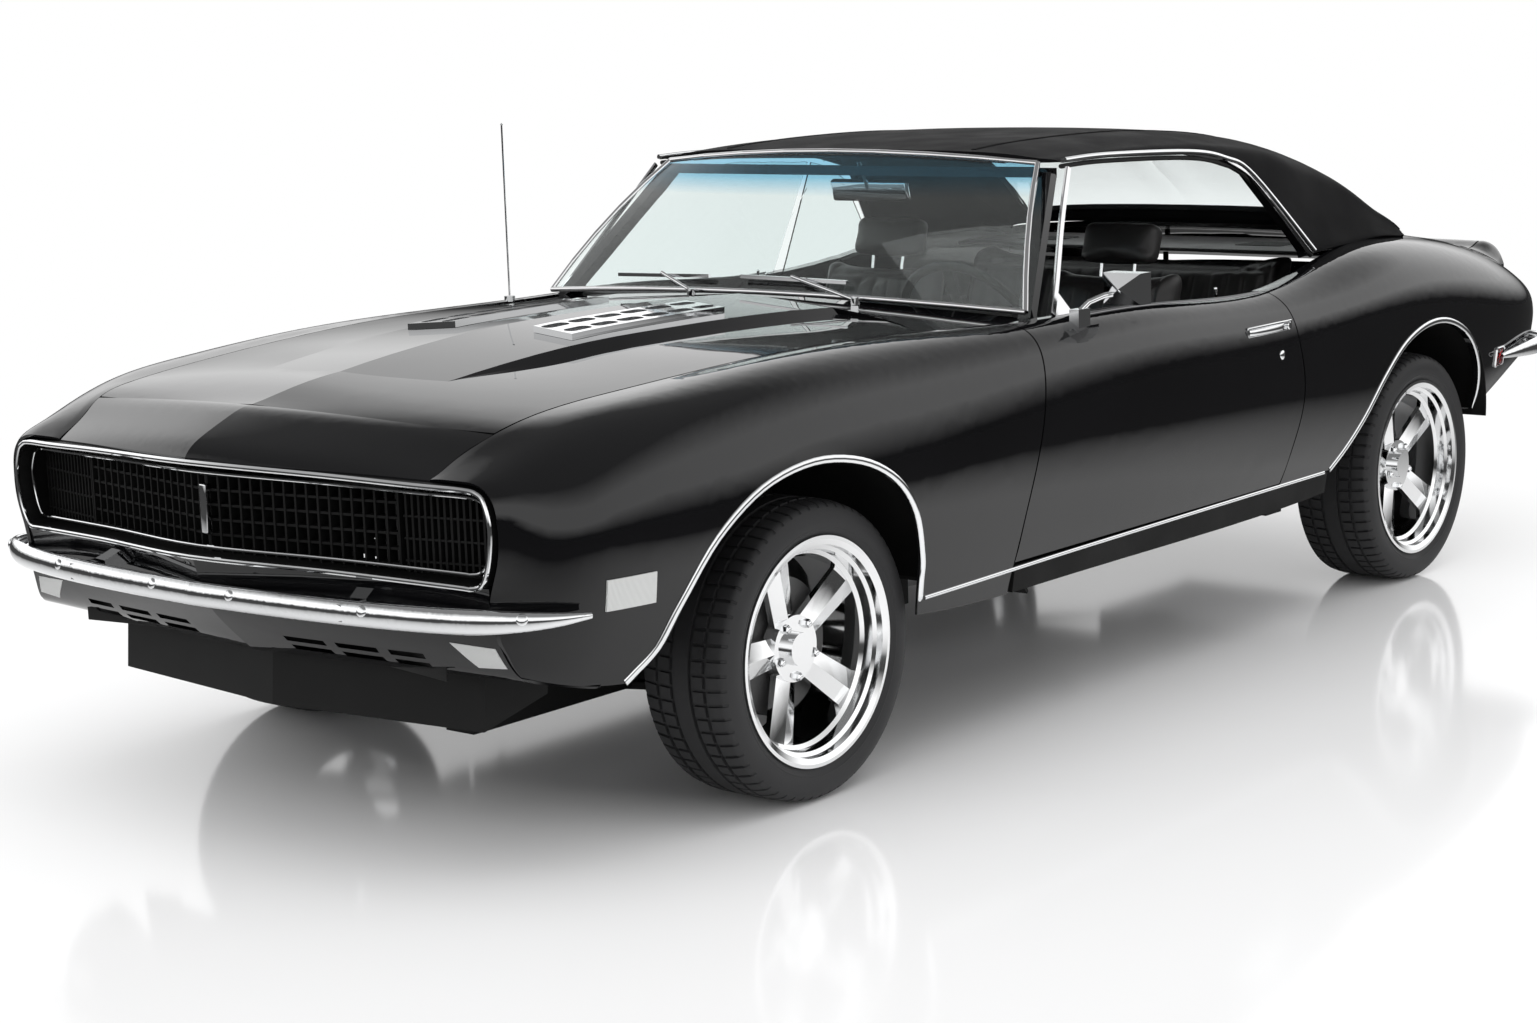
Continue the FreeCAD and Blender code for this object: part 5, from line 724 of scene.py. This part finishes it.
def add_roof_trim(sign):
    side = BODY_SIDE[sign]
    rail = smooth_line([P(a, sign * (left - 4), height - 13) for a, left, height in DRIP_RAIL], 6)
    Shape().sweep(rail, [Vector((0, sign, 0))] * len(rail), ellipse(0.006, 0.007, 10)).piece(
        "weatherstrip_" + side, "weatherstrip", "shell", "black_plastic")
    bead = smooth_line([P(a, sign * (left + 8), height + 3) for a, left, height in DRIP_RAIL], 6)
    Shape().sweep(bead, [Vector((0, sign, 0.4))] * len(bead), ellipse(0.0065, 0.005, 12)).piece(
        "drip_bead_" + side, "chrome", "shell", "bright_trim")
    skin = Surface("roof", "quarter_" + side)
    for name, shift, wide in (("quarter_moulding_", 16, 0.010), ("quarter_moulding_inner_", 2, 0.006)):
        points, ups = [], []
        for ahead, height in WINDOW_REAR:
            point, facing = skin.side(ahead - shift, height + shift * 0.4, sign)
            if point is not None:
                points.append(point)
                ups.append(facing)
        line = smooth_line(points, 6)
        facings = smooth_line(ups, 6)
        Shape().sweep(line, facings, flat_section(wide, 0.004)).piece(name + side, "bright_trim", "shell",
                                                                     "bright_trim")
    seam_points, seam_ups = [], []
    roof = Surface("roof")
    for k in range(30):
        place = -1250 - 1290 * k / 29
        point, facing = roof.top(place, sign * SEAM_LEFT)
        if point is not None and point.z > 1.0:
            seam_points.append(point)
            seam_ups.append(facing)
    seam = Shape().sweep(seam_points, seam_ups, flat_section(0.014, 0.0016))
    for shift in (-0.0045, 0.0045):
        beside = [point + Vector((0, shift, 0.0012)) for point in seam_points]
        seam.sweep(beside, seam_ups, ellipse(0.0011, 0.0011, 6))
    seam.piece("roof_seam_" + side, "vinyl_roof", "shell", "vinyl_roof")


for sign in (1, -1):
    add_roof_trim(sign)


# Lamps: red side markers at the rear, and bezels and reflectors of the tail lamps.
def add_rear_marker(sign):
    side = BODY_SIDE[sign]
    skin = Surface("quarter_" + side)
    point, facing = skin.side(-3222, 585, sign)
    along = Vector((1, 0, 0))
    along = (along - facing * along.dot(facing)).normalized()
    up = facing.cross(along)
    if up.z < 0:
        up = -up
    lens = Shape().block(point + facing * 0.003, (0.052, 0.006, 0.046), 0.0025, (along, facing, up))
    lens.piece("marker_lens_rear_" + side, "lamp_red", "shell", "lamp_red")
    bezel = Shape()
    ring = rectangle_ring(point, along * 0.030, up * 0.027, 0.08)
    bezel.sweep(ring, [facing] * len(ring), ellipse(0.0035, 0.006, 10), True)
    bezel.piece("marker_bezel_rear_" + side, "chrome", "shell", "chrome")


for sign in (1, -1):
    add_rear_marker(sign)

# Tail lenses: inner and outer end, and face; all at one height.
TAIL_LENSES = [(334, 484, -3664), (488, 636, -3656)]
TAIL_HEIGHT = 690


def add_tail_bezels():
    shape, backs = Shape(), Shape()
    for low, high, place in TAIL_LENSES:
        for sign in (1, -1):
            left = sign * (low + high) / 2
            half_wide = Vector((0, (high - low) / 2000 + 0.001, 0))
            ring = rectangle_ring(P(place - 1, left, TAIL_HEIGHT), half_wide, Vector((0, 0, 0.047)), 0.05)
            shape.sweep(ring, [Vector((-1, 0, 0))] * len(ring), ellipse(0.0035, 0.004, 10), True)
            backs.block(P(place + 27, left, TAIL_HEIGHT), (0.003, (high - low - 6) / 1000, 0.086), 0.0012)
    shape.piece("tail_lamp_bezels", "chrome", "shell", "chrome")
    backs.piece("tail_lamp_reflectors", "reflector", "shell", "steel")


add_tail_bezels()


def add_deck_lock():
    """Lock of the decklid, in the middle of the tail panel."""
    lock, facing = Surface("tail_panel").rear(0, 784)
    shape = Shape().lathe([(0.0, 0.006), (0.011, 0.0055), (0.015, 0.003), (0.016, 0.0)], lock, (-1, 0, 0), 28)
    shape.piece("decklid_lock", "chrome", "shell", "chrome")


add_deck_lock()

# Hood inserts: black floors in the chrome ports.
INSERT_FRONT, INSERT_REAR, INSERT_NEAR, INSERT_FAR, INSERT_PORTS = 62, -455, 122, 256, 6
PORT_RADIUS = 16.4
PORT_HALF_STRAIGHT = 0.24


def add_port_floors():
    boxes = Surface("hood_inserts")
    shape = Shape()
    step = (INSERT_FRONT - INSERT_REAR) / INSERT_PORTS
    row_step = (INSERT_FAR - INSERT_NEAR) / 2
    for sign in (1, -1):
        for row in range(2):
            left = INSERT_NEAR + row_step * (row + 0.5)
            for k in range(INSERT_PORTS):
                middle = INSERT_FRONT + 8 - step * (k + 0.5)
                point, facing = boxes.top(middle, sign * left)
                ring = []
                for end in (1, -1):
                    for turn in range(9):
                        angle = math.pi * (turn / 8 - 0.5) + (0 if end == 1 else math.pi)
                        x = (end * step * PORT_HALF_STRAIGHT + PORT_RADIUS * math.cos(angle)) / 1000
                        ring.append(point + Vector((x, PORT_RADIUS * math.sin(angle) / 1000, 0.0008)))
                shape.add(ring, [list(range(len(ring)))])
    shape.piece("port_floors", "black_plastic", "hood", "black_plastic")


add_port_floors()


# Cabin: padded seats, parcel shelf, instruments, inside mirror.
def side_form(outline, low, high, radius):
    """Closed form with a side profile of (ahead, height) between two lefts, its edges rounded."""
    bm = bmesh.new()
    rings = [[bm.verts.new(P(ahead, left, height)) for ahead, height in outline] for left in (low, high)]
    bm.faces.new(rings[0])
    bm.faces.new(rings[1][::-1])
    count = len(outline)
    for i in range(count):
        k = (i + 1) % count
        bm.faces.new([rings[0][k], rings[0][i], rings[1][i], rings[1][k]])
    bmesh.ops.recalc_face_normals(bm, faces=bm.faces)
    bmesh.ops.bevel(bm, geom=list(bm.edges), offset=radius / 1000, segments=3, profile=0.5, affect="EDGES",
                    clamp_overlap=True)
    mesh = bpy.data.meshes.new("form")
    bm.to_mesh(mesh)
    bm.free()
    return mesh


SWELL_LIMIT = 0.024
CLOTH_FRAMES = 20


def evaluated_mesh(obj):
    depsgraph = bpy.context.evaluated_depsgraph_get()
    return bpy.data.meshes.new_from_object(obj.evaluated_get(depsgraph))


def remeshed(obj, voxel):
    modifier = obj.modifiers.new("remesh", "REMESH")
    modifier.mode = "VOXEL"
    modifier.voxel_size = voxel
    mesh = evaluated_mesh(obj)
    obj.modifiers.clear()
    obj.data = mesh


def points_of(mesh):
    points = np.empty(len(mesh.vertices) * 3)
    mesh.vertices.foreach_get("co", points)
    return points.reshape(-1, 3)


def swell(obj):
    """Pressure swells the closed form; no point moves further than the limit."""
    start = points_of(obj.data)
    cloth = obj.modifiers.new("cloth", "CLOTH")
    cloth.settings.use_pressure = True
    cloth.settings.uniform_pressure_force = 4.0
    cloth.settings.effector_weights.gravity = 0.0
    cloth.collision_settings.use_collision = False
    for number in range(1, CLOTH_FRAMES + 1):
        scene.frame_set(number)
    mesh = evaluated_mesh(obj)
    obj.modifiers.clear()
    obj.data = mesh
    scene.frame_set(1)
    moved = points_of(mesh) - start
    length = np.linalg.norm(moved, axis=1)
    share = np.minimum(1.0, SWELL_LIMIT / np.maximum(length, 1e-9))
    mesh.vertices.foreach_set("co", (start + moved * share[:, None]).ravel())
    mesh.update()


def sew(obj, facing, centre, half, pitch, depth, start, end, along):
    """Sewn channels: grooves a pitch apart on the side that faces a person, between two welts."""
    mesh = obj.data
    points = points_of(mesh)
    normals = np.empty(len(points) * 3)
    mesh.vertices.foreach_get("normal", normals)
    normals = normals.reshape(-1, 3)
    out = np.array(facing)
    seen = np.clip((normals @ out - 0.35) / 0.35, 0, 1)
    offset = points[:, 1] - centre
    place = points @ np.array(along)
    inside = np.clip((half - np.abs(offset)) / 0.012, 0, 1) * np.clip((place - start) / 0.02, 0, 1)
    inside *= np.clip((end - place) / 0.02, 0, 1)
    channel = (1 - np.abs(np.sin(math.pi * offset / pitch))) ** 3
    welt = np.exp(-((np.abs(offset) - half - 0.006) / 0.005) ** 2) * 0.8
    for edge in (start - 0.008, end + 0.008):
        welt = np.maximum(welt, np.exp(-((place - edge) / 0.006) ** 2) * 0.8 * (np.abs(offset) < half))
    moved = -out[None, :] * (seen * (channel * inside + welt) * depth)[:, None]
    mesh.vertices.foreach_set("co", (points + moved).ravel())
    mesh.update()


def add_pad(name, outline, low, high, radius, voxel, channels, replaced=()):
    obj = bpy.data.objects.new(name, side_form(outline, low, high, radius))
    scene.collection.objects.link(obj)
    remeshed(obj, voxel)
    swell(obj)
    sub = obj.modifiers.new("subdivision", "SUBSURF")
    sub.levels = 1
    sub.render_levels = 1
    mesh = evaluated_mesh(obj)
    obj.modifiers.clear()
    obj.data = mesh
    if channels:
        sew(obj, *channels)
    obj.data.shade_smooth()
    dress(obj, "interior", "shell", replaced)
    return obj


SEAT_HALF = 240
CUSHION = [(-1325, 348), (-1316, 440), (-1350, 478), (-1560, 466), (-1770, 452), (-1815, 430), (-1815, 348)]
BACKREST = [(-1762, 490), (-1838, 492), (-1960, 925), (-1933, 948), (-1894, 936), (-1770, 560)]
RESTRAINT = [(-1900, 962), (-1966, 954), (-1998, 1050), (-1938, 1070)]


def add_bucket(sign):
    side = BODY_SIDE[sign]
    middle = sign * 385
    low, high = middle - SEAT_HALF + 14, middle + SEAT_HALF - 14
    cushion = (Vector((0, 0, 1)), middle / 1000, 0.150, 0.050, 0.006, (-1750 + AHEAD_ORIGIN) / 1000,
               (-1380 + AHEAD_ORIGIN) / 1000, (1, 0, 0))
    add_pad("seat_cushion_" + side, CUSHION, low, high, 26, 0.011, cushion,
            ["front_seats"] if sign == 1 else ())
    back = (Vector((0.966, 0, 0.259)), middle / 1000, 0.150, 0.050, 0.006, 0.560, 0.900, (0, 0, 1))
    add_pad("seat_back_" + side, BACKREST, low + 8, high - 8, 20, 0.011, back)
    add_pad("head_restraint_" + side, RESTRAINT, middle - 112, middle + 112, 20, 0.009, None)
    posts = Shape()
    for left in (-52, 52):
        line = [P(-1928, middle + left, 920), P(-1940, middle + left, 990)]
        posts.sweep(line, [Vector((1, 0, 0))] * 2, ellipse(0.0055, 0.0055, 12))
    posts.piece("restraint_posts_" + side, "chrome", "shell", "chrome")
    base = Shape().block(P(-1560, middle, 334), (0.46, 0.40, 0.034), 0.008)
    base.piece("seat_base_" + side, "black_plastic", "shell", "interior")


for sign in (1, -1):
    add_bucket(sign)

REAR_CUSHION = [(-2030, 330), (-2034, 530), (-2080, 548), (-2250, 536), (-2430, 526), (-2462, 504),
                (-2244, 494), (-2218, 486), (-2142, 330)]
REAR_BACK = [(-2446, 520), (-2412, 566), (-2552, 912), (-2600, 922), (-2660, 922), (-2600, 706),
             (-2556, 570)]


def add_rear_seat():
    cushion = (Vector((0, 0, 1)), 0.0, 0.500, 0.055, 0.006, (-2400 + AHEAD_ORIGIN) / 1000,
               (-2090 + AHEAD_ORIGIN) / 1000, (1, 0, 0))
    add_pad("rear_cushion", REAR_CUSHION, -548, 548, 16, 0.012, cushion, ["rear_seat"])
    back = (Vector((0.93, 0, 0.37)), 0.0, 0.500, 0.055, 0.006, 0.600, 0.880, (0, 0, 1))
    add_pad("rear_backrest", REAR_BACK, -548, 548, 16, 0.012, back)
    shelf = Shape()
    shelf.block(P(-2765, 0, 936), (0.39, 1.18, 0.010), 0.003)
    for k in range(7):
        for left in (-380, 380):
            shelf.block(P(-2700 - 18 * k, left, 942), (0.006, 0.15, 0.003), 0.001)
    shelf.piece("parcel_shelf", "interior", "shell", "interior")


add_rear_seat()


def add_instruments():
    dash = Surface("dashboard")
    bezels, dials = Shape(), Shape()
    for left, radius in ((300, 0.048), (470, 0.048), (385, 0.026)):
        point, facing = dash.cast(P(-1500, left, 850), Vector((1, 0, 0)))
        bezels.lathe([(radius - 0.004, 0.001), (radius - 0.004, 0.008), (radius, 0.010),
                      (radius + 0.004, 0.007), (radius + 0.005, 0.0)], point, (-1, 0, 0), 40)
        dials.lathe([(0.0, 0.0025), (radius - 0.004, 0.0025)], point, (-1, 0, 0), 40)
    for left in (-60, 0, 60):
        point, facing = dash.cast(P(-1500, left, 800), Vector((1, 0, 0)))
        bezels.lathe([(0.0, 0.020), (0.009, 0.019), (0.011, 0.014), (0.011, 0.0)], point, (-1, 0, 0), 24)
    bezels.piece("gauge_bezels", "chrome", "shell", "chrome")
    dials.piece("gauge_faces", "black_plastic", "shell", "black_plastic")
    mirror = Shape()
    mirror.block(P(-1345, 0, 1186), (0.022, 0.245, 0.058), 0.009,
                 ((0.97, 0, -0.24), (0, 1, 0), (0.24, 0, 0.97)))
    stalk = [P(-1335, 0, 1190), P(-1322, 0, 1222), P(-1300, 0, 1262)]
    mirror.sweep(smooth_line(stalk, 5), [Vector((1, 0, 0.2))] * 11, ellipse(0.006, 0.005, 12))
    mirror.piece("inside_mirror", "chrome", "shell", "chrome")


add_instruments()


# Stage: pale floor, white background, soft light.
def stage_material():
    """Pale floor that keeps the shadow near the object and fades to the white background far off; in
    reflections it shows a painted reflection, pale near the object and dark far off.
    """
    mat, tree, shader = new_material("studio_floor")
    noise = object_noise(tree, 0.6)
    tree.links.new(colour_ramp(tree, noise.outputs["Fac"], (0.92, 0.92, 0.925), (0.94, 0.94, 0.945)),
                   shader.inputs["Base Color"])
    set_inputs(shader, Roughness=0.10, Specular_IOR_Level=0.35)
    coords = add_node(tree, "ShaderNodeTexCoord")
    length = add_node(tree, "ShaderNodeVectorMath", operation="LENGTH")
    tree.links.new(coords.outputs["Object"], length.inputs[0])
    far = ramp(tree, length.outputs["Value"], 0.0, 1.0, 1.6, 5.5)
    paths = add_node(tree, "ShaderNodeLightPath")
    direct = add_node(tree, "ShaderNodeMath", operation="ADD", use_clamp=True)
    tree.links.new(paths.outputs["Is Camera Ray"], direct.inputs[0])
    tree.links.new(paths.outputs["Is Transmission Ray"], direct.inputs[1])
    seen = add_node(tree, "ShaderNodeMath", operation="MULTIPLY")
    tree.links.new(far, seen.inputs[0])
    tree.links.new(direct.outputs["Value"], seen.inputs[1])
    white = add_node(tree, "ShaderNodeEmission")
    white.inputs["Color"].default_value = (1, 1, 1, 1)
    white.inputs["Strength"].default_value = 1.0
    blend = add_node(tree, "ShaderNodeMixShader")
    tree.links.new(seen.outputs["Value"], blend.inputs["Fac"])
    tree.links.new(shader.outputs["BSDF"], blend.inputs[1])
    tree.links.new(white.outputs["Emission"], blend.inputs[2])
    # Painted reflection: rays reflected off the car see this diffuse instead of the pale floor, painted pale
    # near the object and dark far off.
    dark = add_node(tree, "ShaderNodeBsdfDiffuse")
    painted_reflection_fade = ramp(tree, length.outputs["Value"], 0.0, 1.0, 2.4, 4.6)
    tree.links.new(colour_ramp(tree, painted_reflection_fade, (0.95, 0.95, 0.95), (0.06, 0.06, 0.06), 0.0, 1.0),
                   dark.inputs["Color"])
    painted_reflection_mix = add_node(tree, "ShaderNodeMixShader")
    reflected = add_node(tree, "ShaderNodeMath", operation="SUBTRACT", use_clamp=True)
    tree.links.new(paths.outputs["Is Glossy Ray"], reflected.inputs[0])
    tree.links.new(paths.outputs["Is Transmission Ray"], reflected.inputs[1])
    tree.links.new(reflected.outputs["Value"], painted_reflection_mix.inputs["Fac"])
    tree.links.new(blend.outputs["Shader"], painted_reflection_mix.inputs[1])
    tree.links.new(dark.outputs["BSDF"], painted_reflection_mix.inputs[2])
    tree.links.new(painted_reflection_mix.outputs["Shader"], tree.nodes["Material Output"].inputs["Surface"])
    return mat


def add_stage():
    mesh = bpy.data.meshes.new("floor")
    reach = 60.0
    corners = [(-reach, -reach, 0), (reach, -reach, 0), (reach, reach, 0), (-reach, reach, 0)]
    mesh.from_pydata(corners, [], [(0, 1, 2, 3)])
    floor = bpy.data.objects.new("floor", mesh)
    scene.collection.objects.link(floor)
    floor.data.materials.append(stage_material())


add_stage()


def add_area(name, place, target, width, height, power):
    data = bpy.data.lights.new(name, "AREA")
    data.shape = "RECTANGLE"
    data.size = width
    data.size_y = height
    data.energy = power
    lamp = bpy.data.objects.new(name, data)
    scene.collection.objects.link(lamp)
    aim = (Vector(target) - Vector(place)).to_track_quat("-Z", "Y")
    lamp.matrix_world = Matrix.Translation(place) @ aim.to_matrix().to_4x4()
    lamp.visible_glossy = False


def add_world():
    """White where it is seen; in reflections dark at the horizon and bright from above."""
    world = bpy.data.worlds.new("studio")
    scene.world = world
    world.use_nodes = True
    tree = world.node_tree
    background = tree.nodes["Background"]
    background.inputs["Color"].default_value = (1.0, 1.0, 1.0, 1)
    coords = add_node(tree, "ShaderNodeTexCoord")
    split = add_node(tree, "ShaderNodeSeparateXYZ")
    tree.links.new(coords.outputs["Generated"], split.inputs["Vector"])
    low = ramp(tree, split.outputs["Z"], 0.05, 1.3, 0.01, 0.16)
    high = ramp(tree, split.outputs["Z"], 1.0, 0.18, 0.40, 0.72)
    both = add_node(tree, "ShaderNodeMath", operation="MULTIPLY")
    tree.links.new(low, both.inputs[0])
    tree.links.new(high, both.inputs[1])
    sky = both.outputs["Value"]
    paths = add_node(tree, "ShaderNodeLightPath")
    seen = add_node(tree, "ShaderNodeMath", operation="ADD", use_clamp=True)
    tree.links.new(paths.outputs["Is Camera Ray"], seen.inputs[0])
    tree.links.new(paths.outputs["Is Transmission Ray"], seen.inputs[1])
    glossy = add_node(tree, "ShaderNodeMix", data_type="FLOAT")
    tree.links.new(paths.outputs["Is Glossy Ray"], glossy.inputs[0])
    glossy.inputs[2].default_value = 0.95
    tree.links.new(sky, glossy.inputs[3])
    final = add_node(tree, "ShaderNodeMix", data_type="FLOAT")
    tree.links.new(seen.outputs["Value"], final.inputs[0])
    tree.links.new(glossy.outputs[0], final.inputs[2])
    final.inputs[3].default_value = 1.0
    tree.links.new(final.outputs[0], background.inputs["Strength"])


add_world()
add_area("key", (1.5, 1.0, 5.0), (0.0, 0.0, 0.5), 6.0, 3.5, 90)
add_area("side", (1.0, 6.5, 2.6), (0.0, 0.0, 0.7), 7.0, 1.6, 30)
